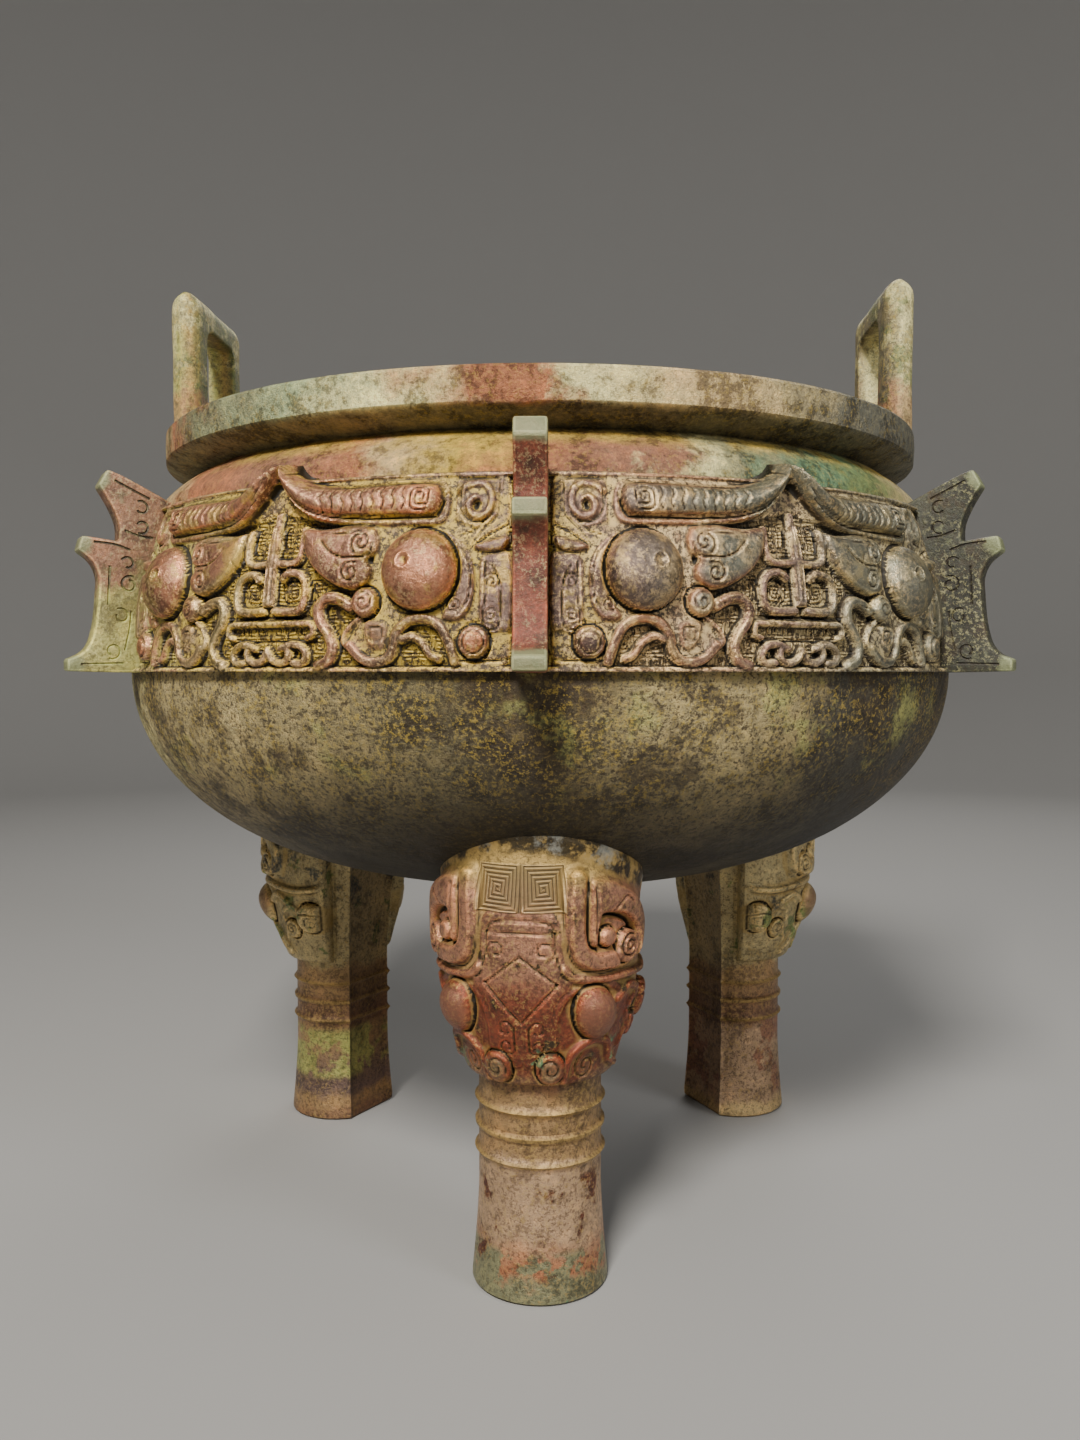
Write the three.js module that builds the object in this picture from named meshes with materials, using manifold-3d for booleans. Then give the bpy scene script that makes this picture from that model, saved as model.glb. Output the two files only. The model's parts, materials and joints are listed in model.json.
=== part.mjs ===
// A ding: a round bronze cauldron cast in one piece, with a deep bowl on three legs, a thick
// everted lip, two upright loop handles, and a band of six mask panels parted by six flanges.
// Millimetres, +Z up. The origin is on the floor, on the bowl's axis. The front leg is at -Y.
import * as THREE from "three";
import { mergeVertices } from "three/addons/utils/BufferGeometryUtils.js";
import Module from "manifold-3d";

const wasm = await Module();
wasm.setup();

const rad = Math.PI / 180;

// Driving dimensions
const bodyRadius = 170; // belly, just under the band
const wall = 6;
const bellyBottom = 125; // underside of the bowl on its axis
const bandBottom = 212;
const bandTop = 272;
const bandProud = 3.3; // how far the band stands out from the belly and the neck
const bandDraw = 11.3; // how much narrower the band is at its top than at its bottom
const bandCurve = 2.4;
const neckRadius = 143;
const neckTop = 289;
const lipRadius = 156;
const lipUnder = 294;
const lipTop = 305.5;
const mouthRadius = 137;
const legCircle = 109.5; // radius on which the three legs stand
// Where each leg stands round the bowl, and how far its mask looks aside. They were set by eye.
const legStands = [
  [0, -11 * rad],
  [119.2 * rad, -4 * rad],
  [242.6 * rad, -4 * rad],
];
const flangeCount = 6;
const flangeThickness = 10;
const turns = 48; // facets round the bowl

const bellyPower = 2.02; // the belly's profile is a superellipse
const bellyRound = 2.57;

// ---- Solids from meshes ----

// A closed three.js geometry as a manifold-3d solid. Facets with no area are left out, and a
// surface that faces inwards is turned round.
function solid(geometry) {
  const bare = new THREE.BufferGeometry();
  bare.setAttribute("position", geometry.getAttribute("position").clone());
  if (geometry.index) bare.setIndex(geometry.index.clone());
  const merged = mergeVertices(bare, 1e-3);
  const index = merged.index.array;
  const outward = [];
  const inward = [];
  for (let i = 0; i < index.length; i += 3) {
    const [a, b, c] = [index[i], index[i + 1], index[i + 2]];
    if (a === b || b === c || c === a) continue;
    outward.push(a, b, c);
    inward.push(a, c, b);
  }
  const build = (triangles) =>
    new wasm.Manifold(
      new wasm.Mesh({
        numProp: 3,
        vertProperties: new Float32Array(merged.getAttribute("position").array),
        triVerts: new Uint32Array(triangles),
      }),
    );
  const made = build(outward);
  return made.volume() < 0 ? build(inward) : made;
}

// A manifold-3d solid as a three.js geometry.
function geometryOf(shape) {
  const mesh = shape.getMesh();
  const geometry = new THREE.BufferGeometry();
  const count = mesh.vertProperties.length / mesh.numProp;
  const position = new Float32Array(count * 3);
  for (let i = 0; i < count; i++)
    position.set(mesh.vertProperties.subarray(i * mesh.numProp, i * mesh.numProp + 3), i * 3);
  geometry.setAttribute("position", new THREE.BufferAttribute(position, 3));
  geometry.setIndex(new THREE.BufferAttribute(new Uint32Array(mesh.triVerts), 1));
  geometry.computeVertexNormals();
  return geometry;
}

// A closed solid skinned over rows of points: each row is a ring of Vector3, and both ends are capped.
function skin(rows) {
  const n = rows[0].length;
  const points = rows.flat();
  const index = [];
  for (let r = 0; r + 1 < rows.length; r++) {
    for (let i = 0; i < n; i++) {
      const a = r * n + i;
      const b = r * n + ((i + 1) % n);
      index.push(a, b, b + n, a, b + n, a + n);
    }
  }
  for (const [row, flip] of [[0, true], [rows.length - 1, false]]) {
    const middle = rows[row].reduce((s, p) => s.add(p), new THREE.Vector3()).divideScalar(n);
    points.push(middle);
    for (let i = 0; i < n; i++) {
      const a = row * n + i;
      const b = row * n + ((i + 1) % n);
      if (flip) index.push(b, a, points.length - 1);
      else index.push(a, b, points.length - 1);
    }
  }
  const geometry = new THREE.BufferGeometry().setFromPoints(points);
  geometry.setIndex(index);
  return solid(geometry);
}

function union(solids) {
  return solids.reduce((whole, piece) => whole.add(piece));
}

// The same solid turned about the bowl's axis.
function turned(shape, angle) {
  return shape.rotate([0, 0, angle / rad]);
}

// The same solid on the other side of the plane x = 0.
function mirrored(shape) {
  return shape.mirror([1, 0, 0]);
}

// ---- The bowl ----

// Radius of the belly's outside at a height below the band.
function bellyAt(z, radius, bottom) {
  const t = Math.min(1, Math.max(0, (bandBottom - z) / (bandBottom - bottom)));
  return radius * (1 - t ** bellyPower) ** (1 / bellyRound);
}

// Points down a belly profile from the band to the axis, spaced evenly round the curve.
function bellyProfile(radius, bottom, steps) {
  const points = [];
  for (let i = 0; i <= steps; i++) {
    const t = Math.sin((i / steps) * (Math.PI / 2));
    const z = bandBottom - t * (bandBottom - bottom);
    points.push(new THREE.Vector2(i === steps ? 0 : bellyAt(z, radius, bottom), z));
  }
  return points;
}

// Radius of the band's face at a height above the band's lower edge.
function bandAt(height) {
  const t = Math.max(0, height) / (bandTop - bandBottom);
  return bodyRadius + bandProud - bandDraw * t ** bandCurve;
}

// A solid turned from a profile of radii and heights, about the bowl's axis.
function lathed(profile) {
  const geometry = new THREE.LatheGeometry(profile, turns);
  return solid(geometry.rotateX(Math.PI / 2));
}

function bowlOutside() {
  const profile = bellyProfile(bodyRadius, bellyBottom, 9).reverse();
  for (const height of [0, 34, 60])
    profile.push(new THREE.Vector2(bandAt(height), bandBottom + height));
  profile.push(
    new THREE.Vector2(bandAt(60) - bandProud, bandTop),
    new THREE.Vector2(153.5, 281),
    new THREE.Vector2(neckRadius, neckTop),
    new THREE.Vector2(lipRadius, lipUnder),
    new THREE.Vector2(lipRadius, lipTop),
    new THREE.Vector2(0, lipTop),
  );
  return lathed(profile);
}

function bowlInside() {
  const profile = bellyProfile(bodyRadius - wall, bellyBottom + wall, 5).reverse();
  profile.push(
    new THREE.Vector2(bodyRadius - wall, 236),
    new THREE.Vector2(bandAt(50) - wall - bandProud, 262),
    new THREE.Vector2(mouthRadius + 9, 280),
    new THREE.Vector2(mouthRadius, neckTop),
    new THREE.Vector2(mouthRadius, lipTop + 5),
    new THREE.Vector2(0, lipTop + 5),
  );
  return lathed(profile);
}

// ---- Relief on the band ----

// A point on the band: along is the arc from a flange's middle, height is from the band's lower
// edge, and lift is how far the point stands out from the band's face.
function onBand(along, height, lift) {
  const angle = along / (bodyRadius + 1);
  const radius = bandAt(height) + lift;
  return new THREE.Vector3(
    radius * Math.sin(angle),
    -radius * Math.cos(angle),
    bandBottom + height,
  );
}

// A flat-backed ridge on a surface. Each station is [along, height, half width, lift].
function ridge(stations, place) {
  const rows = stations.map(([along, height, half, lift], i) => {
    const before = stations[Math.max(0, i - 1)];
    const after = stations[Math.min(stations.length - 1, i + 1)];
    const run = new THREE.Vector2(after[0] - before[0], after[1] - before[1]).normalize();
    const side = new THREE.Vector2(-run.y, run.x);
    const at = (across, up) =>
      place(along + side.x * across * half, height + side.y * across * half, up);
    return [at(-1, -2), at(-0.85, lift), at(0.85, lift), at(1, -2)];
  });
  return skin(rows);
}

// The rings of a boss, as shares of its radius and its height, from the buried base upwards.
const dome = [[1, -2], [0.94, 0.4], [0.5, 0.9], [0.12, 1]];
const button = [[1, -2], [0.75, 0.85], [0.15, 1]];

// A boss on a surface, with its middle at along and height.
function boss(along, height, radius, lift, sides, rings, place, squeeze = 1, lean = 0) {
  const rows = rings.map(([share, up]) => {
    const row = [];
    for (let i = 0; i < sides; i++) {
      const a = (i / sides) * 2 * Math.PI;
      const x = Math.cos(a) * radius * share * squeeze;
      const y = Math.sin(a) * radius * share;
      row.push(
        place(
          along + x * Math.cos(lean) - y * Math.sin(lean),
          height + x * Math.sin(lean) + y * Math.cos(lean),
          up < 0 ? up : up * lift,
        ),
      );
    }
    return row;
  });
  return skin(rows);
}

// The main forms of half a mask, from a flange to the line where two masks meet.
function halfMask() {
  const horn = [
    [25, 50.5, 3.5, 3],
    [30, 50.5, 6.4, 4],
    [60, 50, 6, 4],
    [73, 52, 4.4, 4.4],
    [81, 56, 3.2, 5.4],
    [86.5, 61, 1.5, 6],
  ];
  const ear = [
    [48, 37, 3, 2.6],
    [59, 34, 7.5, 3],
    [74, 41.5, 1.5, 3],
  ];
  return union([
    ridge(horn, onBand),
    ridge(ear, onBand),
    boss(34, 30, 12.6, 8.5, 10, dome, onBand),
  ]);
}

// ---- Flanges ----

// A hooked flange: a flat plate on edge with three prongs that curve outwards.
function flange() {
  const root = 160;
  const outline = new THREE.Shape();
  outline.moveTo(root, 273.5);
  outline.lineTo(181, 284);
  outline.lineTo(184, 279);
  outline.quadraticCurveTo(176, 270, 177.5, 257.5);
  outline.lineTo(190, 260.5);
  outline.lineTo(191.3, 255.5);
  outline.bezierCurveTo(182, 249, 184, 241, 185.5, 230);
  outline.quadraticCurveTo(187, 219.5, 195.5, 217);
  outline.lineTo(195.5, 212);
  outline.lineTo(root, 211.2);
  const plate = new THREE.ExtrudeGeometry(outline, {
    depth: flangeThickness,
    bevelEnabled: false,
    curveSegments: 4,
  });
  plate.translate(0, 0, -flangeThickness / 2);
  plate.rotateX(Math.PI / 2);
  plate.rotateZ(-Math.PI / 2);
  return solid(plate);
}

// ---- Handles ----

const handleHalfWidth = 32;
const handleTop = 372;
const handleInner = 141;
const handleThickness = 13;
const handlePost = 14;
const handleTurn = -3 * rad; // the pair was set a little askew of the legs

function handle() {
  const foot = lipTop - 5;
  const corner = 8;
  const outline = new THREE.Shape();
  outline.moveTo(-handleHalfWidth, foot);
  outline.lineTo(handleHalfWidth, foot);
  outline.lineTo(handleHalfWidth - 1.5, handleTop - corner);
  outline.quadraticCurveTo(
    handleHalfWidth - 1.5, handleTop,
    handleHalfWidth - 1.5 - corner, handleTop,
  );
  outline.lineTo(corner + 1.5 - handleHalfWidth, handleTop);
  outline.quadraticCurveTo(
    1.5 - handleHalfWidth, handleTop,
    1.5 - handleHalfWidth, handleTop - corner,
  );
  outline.closePath();
  const half = handleHalfWidth - handlePost;
  const head = handleTop - handlePost;
  const window = new THREE.Path();
  window.moveTo(-half, lipTop - 2);
  window.lineTo(-half, head - corner);
  window.quadraticCurveTo(-half, head, corner - half, head);
  window.lineTo(half - corner, head);
  window.quadraticCurveTo(half, head, half, head - corner);
  window.lineTo(half, lipTop - 2);
  window.closePath();
  outline.holes.push(window);
  const edge = 1.5;
  const plate = new THREE.ExtrudeGeometry(outline, {
    depth: handleThickness - 2 * edge,
    bevelThickness: edge,
    bevelSize: edge,
    bevelOffset: -edge,
    bevelSegments: 1,
    curveSegments: 3,
  });
  plate.translate(0, 0, edge);
  plate.rotateX(Math.PI / 2);
  plate.rotateZ(Math.PI / 2);
  plate.translate(handleInner, 0, 0);
  return solid(plate);
}

// ---- Legs ----

const legWrap = 140 * rad; // the round front of a leg ends here, and a flat back closes it
const legSides = 12;
const ringHeights = [46.8, 55.8, 64.6];
const maskBottom = 75;
const maskTop = 163;

// Radius of a leg's shaft at a height: a splayed foot, a waist, and a flare into the belly.
function shaftAt(z) {
  const foot = 2.6 * Math.max(0, 1 - z / 36) ** 1.5;
  const flare = 4 * Math.max(0, (z - 70) / 80) ** 2;
  return 21.4 + foot + flare;
}

// A value between stops of [height, value].
function between(stops, z) {
  const next = Math.max(1, stops.findIndex(([height]) => height >= z));
  const [low, high] = [stops[next - 1], stops[next]];
  return low[1] + ((high[1] - low[1]) * (z - low[0])) / (high[0] - low[0]);
}

// Radius of the mask's ground at a height.
function maskAt(z) {
  const stops = [[75, 27], [84, 30], [92, 32], [104, 33.8], [120, 34.5], [138, 34.5], [150, 33], [164, 31]];
  return between(stops, z);
}

// A point on a leg: angle is from the leg's outward side, in the leg's own frame.
function onLeg(angle, z, radius) {
  return new THREE.Vector3(radius * Math.sin(angle), -radius * Math.cos(angle) - legCircle, z);
}

// One row of points round a leg, closed by the chord across its back.
function legRow(heightAt, radiusAt) {
  const row = [];
  for (let i = 0; i <= legSides; i++) {
    const angle = (i / legSides - 0.5) * 2 * legWrap;
    row.push(onLeg(angle, heightAt(angle), radiusAt(angle)));
  }
  return row;
}

// The shaft, from the rounded edge of the foot up through the three rings.
function shaftRows() {
  const stops = [[0, -1.6], [1.6, 0], [34, 0]];
  for (const z of ringHeights) stops.push([z - 1.7, 0], [z, 1.6], [z + 1.7, 0]);
  const onBack = (angle) => Math.abs(angle) > legWrap - 0.01;
  return stops.map(([z, lift]) =>
    legRow(
      () => z,
      (angle) => shaftAt(z) + (onBack(angle) && lift > 0 ? 0 : lift),
    ),
  );
}

// Radius of the plain corner behind the mask, where a leg's round front meets its flat back.
function cornerAt(z) {
  return between([[75, 21.4], [100, 23], [120, 26], [135, 29], [150, 33], [164, 34]], z);
}

// The swollen upper leg that carries the mask, on the leg's round front alone. It overhangs the
// shaft all round, as a muzzle.
function maskRows() {
  const onCorner = (angle) => Math.abs(angle) > legWrap - 0.01;
  const rows = [legRow(() => maskBottom, () => shaftAt(maskBottom))];
  for (const z of [maskBottom + 0.8, 84, 96, 116, 138, maskTop]) {
    rows.push(legRow(() => z, (angle) => (onCorner(angle) ? cornerAt(z) : maskAt(z))));
  }
  return rows;
}

// A point on the mask: along is the arc from the mask's middle line.
function onMask(along, z, lift) {
  return onLeg(along / 34, z, maskAt(Math.min(maskTop, Math.max(maskBottom, z))) + lift);
}

function halfLegMask() {
  const horn = [
    [17.5, 145, 2.4, 3.2],
    [17.5, 126, 3.4, 4],
    [22.5, 119.5, 3.4, 4],
    [34, 120, 4, 3.8],
    [40, 124.5, 4, 3.4],
  ];
  const wing = [
    [21, 143.5, 2.4, 3.2],
    [33, 141, 4.2, 4],
    [43, 135, 4, 4],
    [48, 125, 2.4, 3],
  ];
  const brow = [
    [40, 112, 1.2, 2.4],
    [56, 111, 2, 3],
    [76, 116, 1.6, 2.4],
  ];
  return union([
    ridge(horn, onMask),
    ridge(wing, onMask),
    ridge(brow, onMask),
    boss(26, 100.5, 9.6, 6, 8, dome, onMask, 0.8, -0.25),
    boss(63, 99, 7.5, 4.6, 6, button, onMask),
    boss(10.5, 82.2, 5.6, 3, 6, button, onMask),
  ]);
}

function leg() {
  const half = halfLegMask();
  return union([skin([...shaftRows(), ...maskRows()]), half, mirrored(half)]);
}

// ---- The vessel ----

function vessel() {
  const half = halfMask();
  const panel = half.add(mirrored(half));
  const fin = flange();
  const pieces = [bowlOutside()];
  for (let i = 0; i < flangeCount; i++) {
    const angle = (i * 2 * Math.PI) / flangeCount;
    pieces.push(turned(panel, angle), turned(fin, angle));
  }
  const limb = leg();
  for (const [around, aside] of legStands) {
    const stood = turned(limb.translate([0, legCircle, 0]), aside).translate([0, -legCircle, 0]);
    pieces.push(turned(stood, around));
  }
  for (const side of [0, Math.PI]) pieces.push(turned(handle(), side + handleTurn));
  return union(pieces).subtract(bowlInside()).simplify(0.15);
}

const bronze = new THREE.MeshStandardMaterial({
  color: 0x6f5a41,
  roughness: 0.6,
  metalness: 0.45,
});

const ding = new THREE.Mesh(geometryOf(vessel()), bronze);
ding.name = "ding";

const cauldron = new THREE.Group();
cauldron.add(ding);

export default cauldron;
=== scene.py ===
import json
import math

import bpy
import numpy as np
from mathutils import Matrix, Vector, noise

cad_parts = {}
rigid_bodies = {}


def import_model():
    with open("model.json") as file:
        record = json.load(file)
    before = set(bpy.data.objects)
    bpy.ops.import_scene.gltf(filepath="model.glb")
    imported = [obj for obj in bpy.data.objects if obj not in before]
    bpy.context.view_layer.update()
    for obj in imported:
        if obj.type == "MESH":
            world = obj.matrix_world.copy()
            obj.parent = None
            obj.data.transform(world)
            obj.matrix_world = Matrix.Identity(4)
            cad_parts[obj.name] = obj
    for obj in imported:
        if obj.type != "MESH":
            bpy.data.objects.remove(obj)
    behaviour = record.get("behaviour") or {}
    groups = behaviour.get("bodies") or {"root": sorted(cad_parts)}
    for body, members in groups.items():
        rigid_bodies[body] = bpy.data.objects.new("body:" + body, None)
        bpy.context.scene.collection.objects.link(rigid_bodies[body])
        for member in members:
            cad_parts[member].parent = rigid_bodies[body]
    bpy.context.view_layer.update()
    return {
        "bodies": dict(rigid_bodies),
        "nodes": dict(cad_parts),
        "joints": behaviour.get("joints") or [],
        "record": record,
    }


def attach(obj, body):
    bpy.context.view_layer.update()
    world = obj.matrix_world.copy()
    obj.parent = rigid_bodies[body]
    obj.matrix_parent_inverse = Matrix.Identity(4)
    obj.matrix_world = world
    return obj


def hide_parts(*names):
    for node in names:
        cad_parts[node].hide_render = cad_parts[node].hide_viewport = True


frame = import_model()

# The studio: a round sweep of pale paper under and behind the vessel, one large soft lamp high on
# the left of the front, a weaker one on the right, and one behind. The camera stands half a metre
# from the vessel's axis, level with the lower edge of its band, and looks a little down.
mm = 0.001
camera_distance = 507
camera_height = 211.9
camera_dip = 2.4
floor_reach = 1.7
sweep_bend = 0.8
bpy.ops.object.select_all(action="DESELECT")

camera = bpy.data.objects.new("camera", bpy.data.cameras.new("camera"))
bpy.context.scene.collection.objects.link(camera)
camera.location = (0, -camera_distance * mm, camera_height * mm)
camera.rotation_euler = (math.radians(90 - camera_dip), 0, 0)
camera.data.sensor_width = 36
camera.data.lens = 28.67
bpy.context.scene.camera = camera

sweep_profile = [(0.0, 0.0), (1.0, 0.0), (floor_reach, 0.0)]
for turn in range(0, 91, 9):
    bend = math.radians(turn)
    out, height = floor_reach + sweep_bend * math.sin(bend), sweep_bend - sweep_bend * math.cos(bend)
    sweep_profile.append((out, height))
sweep_profile.append((floor_reach + sweep_bend, 3.2))
bpy.ops.mesh.primitive_circle_add(vertices=len(sweep_profile), fill_type="NOTHING")
floor = bpy.context.object
floor.name = "paper_sweep"
for vertex, (radius, height) in zip(floor.data.vertices, sweep_profile):
    vertex.co = (radius, 0, height)
bpy.ops.object.mode_set(mode="EDIT")
bpy.ops.mesh.select_mode(type="EDGE")
bpy.ops.mesh.select_all(action="DESELECT")
bpy.ops.object.mode_set(mode="OBJECT")
for edge in floor.data.edges:
    edge.select = abs(edge.vertices[0] - edge.vertices[1]) > 1
bpy.ops.object.mode_set(mode="EDIT")
bpy.ops.mesh.delete(type="EDGE")
bpy.ops.mesh.select_all(action="SELECT")
bpy.ops.mesh.spin(steps=72, angle=2 * math.pi, center=(0, 0, 0), axis=(0, 0, 1))
bpy.ops.mesh.select_all(action="SELECT")
bpy.ops.mesh.remove_doubles(threshold=0.0001)
bpy.ops.object.mode_set(mode="OBJECT")
bpy.ops.object.shade_smooth()
paper = bpy.data.materials.new("pale_paper")
paper.use_nodes = True
paper_inputs = paper.node_tree.nodes["Principled BSDF"].inputs
paper_inputs["Base Color"].default_value = (0.34, 0.335, 0.325, 1)
paper_inputs["Roughness"].default_value = 0.9
floor.data.materials.append(paper)

world = bpy.data.worlds.new("studio")
world.use_nodes = True
sky = world.node_tree.nodes["Background"].inputs
sky["Color"].default_value = (0.9, 0.95, 1.0, 1)
sky["Strength"].default_value = 0.13
bpy.context.scene.world = world


def soft_lamp(name, place, size, power, tint):
    """A square lamp that looks at the vessel's middle."""
    lamp = bpy.data.lights.new(name, "AREA")
    lamp.size = size
    lamp.energy = power
    lamp.color = tint
    holder = bpy.data.objects.new(name, lamp)
    bpy.context.scene.collection.objects.link(holder)
    holder.location = place
    aim = Vector((0, 0, 0.2)) - Vector(place)
    holder.rotation_euler = aim.to_track_quat("-Z", "Y").to_euler()


soft_lamp("key_lamp", (-0.3, -1.25, 1.32), 0.38, 46, (1.0, 0.96, 0.90))
soft_lamp("fill_lamp", (1.2, -1.1, 1.0), 0.5, 8, (0.97, 0.98, 1.0))
soft_lamp("back_lamp", (0.4, 1.2, 1.3), 0.9, 8, (1.0, 0.98, 0.95))

# The bowl: one turned wall of cast bronze, 6 mm thick, from the round belly through the band and
# the drawn-in neck to the thick flat lip. The band's masks are cast on its outside, so the wall
# steps in a little behind them.
wall = 6.0
belly_radius = 170.0
belly_bottom = 125.0
belly_power = 2.02
belly_round = 2.57
band_bottom = 212.0
band_height = 60.0
band_proud = 3.3
band_draw = 11.3
band_curve = 2.4
behind_carving = 5.0
lip_radius = 156.0
lip_top = 305.5
mouth_radius = 137.0


def band_radius(height):
    """Radius of the band's face, at a height above its lower edge."""
    share = np.clip(height, 0, band_height) / band_height
    return belly_radius + band_proud - band_draw * share**band_curve


def belly_curve(radius, bottom, steps):
    """The belly's profile, from the band's lower edge in to the axis."""
    points = []
    for step in range(steps + 1):
        t = math.sin(step / steps * math.pi / 2)
        shrink = max(0.0, 1 - t**belly_power) ** (1 / belly_round)
        points.append((radius * shrink, band_bottom - t * (band_bottom - bottom)))
    points[-1] = (0.0, bottom)
    return points


def smooth_path(points, closed=False, step=0.5):
    """A smooth line through a few points, as a finer row of points."""
    nodes = np.array(points, float)
    count = len(nodes)
    made = []
    for i in range(count if closed else count - 1):
        a, b = nodes[i], nodes[(i + 1) % count]
        before = nodes[(i - 1) % count] if closed or i else a
        after = nodes[(i + 2) % count] if closed or i + 2 < count else b
        pieces = max(2, int(np.hypot(*(b - a)) / step) + 1)
        t = np.linspace(0, 1, pieces, endpoint=False)[:, None]
        bend = 2 * before - 5 * a + 4 * b - after
        twist = 3 * a - before - 3 * b + after
        made.append(0.5 * (2 * a + (b - before) * t + bend * t * t + twist * t**3))
    if not closed:
        made.append(nodes[-1:])
    return np.vstack(made)


def face_outwards():
    """Turns every face of the piece being edited outwards, and ends the edit."""
    bpy.ops.mesh.select_all(action="SELECT")
    bpy.ops.mesh.normals_make_consistent(inside=False)
    bpy.ops.object.mode_set(mode="OBJECT")


neck_outside = [(159.2, 272), (157.3, 277), (152.5, 282.2), (147, 286.2), (143.2, 288.8)]
neck_inside = [(mouth_radius, 297), (137.6, 290), (142, 283.5), (149.5, 275.5), (156.5, 262)]
neck_inside += [(161.5, 247), (164, 230), (164, 212)]
outside = belly_curve(belly_radius, belly_bottom, 44)[::-1]
outside += [(belly_radius - 0.2, band_bottom + 0.6)]
for height in range(2, 59, 8):
    outside.append((band_radius(height) - behind_carving, band_bottom + height))
outside += [(band_radius(band_height) - behind_carving, 271.2)]
outside += [tuple(p) for p in smooth_path(neck_outside, step=2.5)]
outside += [(149.5, 290.9), (155.2, 293.4), (lip_radius, 294.3), (lip_radius + 0.2, 299.5)]
outside += [(lip_radius, 304.6), (155.2, lip_top), (147, lip_top), (138, lip_top)]
inside = [(mouth_radius, 304.5)] + [tuple(p) for p in smooth_path(neck_inside, step=3)]
inside += belly_curve(belly_radius - wall, belly_bottom + wall, 26)[1:]
bowl_section = outside + inside

bpy.ops.object.select_all(action="DESELECT")
bpy.ops.mesh.primitive_circle_add(vertices=len(bowl_section), fill_type="NOTHING")
bowl = bpy.context.object
bowl.name = "bowl"
for vertex, (radius, height) in zip(bowl.data.vertices, bowl_section):
    vertex.co = (radius * mm, 0, height * mm)
bpy.ops.object.mode_set(mode="EDIT")
bpy.ops.mesh.select_all(action="SELECT")
bpy.ops.mesh.spin(steps=216, angle=2 * math.pi, center=(0, 0, 0), axis=(0, 0, 1))
bpy.ops.mesh.select_all(action="SELECT")
bpy.ops.mesh.remove_doubles(threshold=0.00001)
bpy.ops.mesh.dissolve_degenerate(threshold=0.00001)
bpy.ops.mesh.delete_loose()
face_outwards()


def positions(mesh):
    """Where a mesh's points are, one row for each."""
    flat = np.empty(len(mesh.vertices) * 3)
    mesh.vertices.foreach_get("co", flat)
    return flat.reshape(-1, 3)


def place(mesh, points):
    """Puts a mesh's points where the rows say."""
    mesh.vertices.foreach_set("co", np.ascontiguousarray(points).ravel())
    mesh.update()


def unevenness(points, size, seed):
    """A slow random rise and fall, between about -1 and 1, at each point."""
    shift = Vector((seed * 7.3, seed * 3.1, seed * 5.7))
    return np.array([noise.noise(Vector(p) / size + shift) for p in points])


# A cast wall is never quite true: it swells and sinks by a few tenths of a millimetre.
points = positions(bowl.data)
around = np.hypot(points[:, 0], points[:, 1])
swell = 0.35 * unevenness(points, 0.035, 1) + 0.2 * unevenness(points, 0.012, 2)
outer = np.clip((around - 0.02) / 0.03, 0, 1)
points[:, :2] *= (1 + swell * outer * mm / np.maximum(around, 0.02))[:, None]
place(bowl.data, points)
bpy.ops.object.shade_smooth_by_angle(angle=math.radians(38))


class Wire:
    """One socket of the patina's shader. Sums and products of wires add the Math nodes."""

    tree = None

    def __init__(self, socket):
        self.socket = socket

    @classmethod
    def node(cls, kind, settings=None, inputs=None, output=0):
        """Adds a node, joins wires or sets values at its inputs, and gives one of its outputs."""
        made = cls.tree.nodes.new("ShaderNode" + kind)
        for name, value in (settings or {}).items():
            if name != "stops":
                setattr(made, name, value)
                continue
            ramp = made.color_ramp
            ramp.elements[0].position, ramp.elements[0].color = value[0]
            ramp.elements[1].position, ramp.elements[1].color = value[-1]
            for position, colour in value[1:-1]:
                ramp.elements.new(position).color = colour
        for name, value in (inputs or {}).items():
            if isinstance(value, Wire):
                cls.tree.links.new(value.socket, made.inputs[name])
            else:
                made.inputs[name].default_value = value
        return cls(made.outputs[output])

    def math(self, operation, other=0.0, swapped=False):
        """Adds a Math node that takes this wire and another wire or number."""
        pair = (other, self) if swapped else (self, other)
        return Wire.node("Math", {"operation": operation}, {0: pair[0], 1: pair[1]})

    def __add__(self, other):
        return self.math("ADD", other)

    __radd__ = __add__

    def __sub__(self, other):
        return self.math("SUBTRACT", other)

    def __rsub__(self, other):
        return self.math("SUBTRACT", other, swapped=True)

    def __mul__(self, other):
        return self.math("MULTIPLY", other)


def span(value, low, high):
    """0 below low, 1 above high, and smooth between."""
    inputs = {"Value": value, "From Min": low, "From Max": high}
    return Wire.node("MapRange", {"interpolation_type": "SMOOTHSTEP"}, inputs)


def parts(vector):
    """The three numbers of a vector, as wires."""
    split = Wire.node("SeparateXYZ", {}, {0: vector})
    return [Wire(socket) for socket in split.socket.node.outputs]


def blended(under, over, mask, mode="MIX"):
    """One colour laid over another, as far as the mask lets it."""
    settings = {"data_type": "RGBA", "blend_type": mode}
    return Wire.node("Mix", settings, {0: mask, 6: under, 7: over}, output=2)


def cloud(scale, detail, rough):
    """A cloudy pattern through the whole vessel, between 0 and 1. A higher scale is finer."""
    inputs = {"Vector": Wire.node("TexCoord", output=3)}
    return Wire.node("TexNoise", {}, inputs | {"Scale": scale, "Detail": detail, "Roughness": rough})


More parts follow.
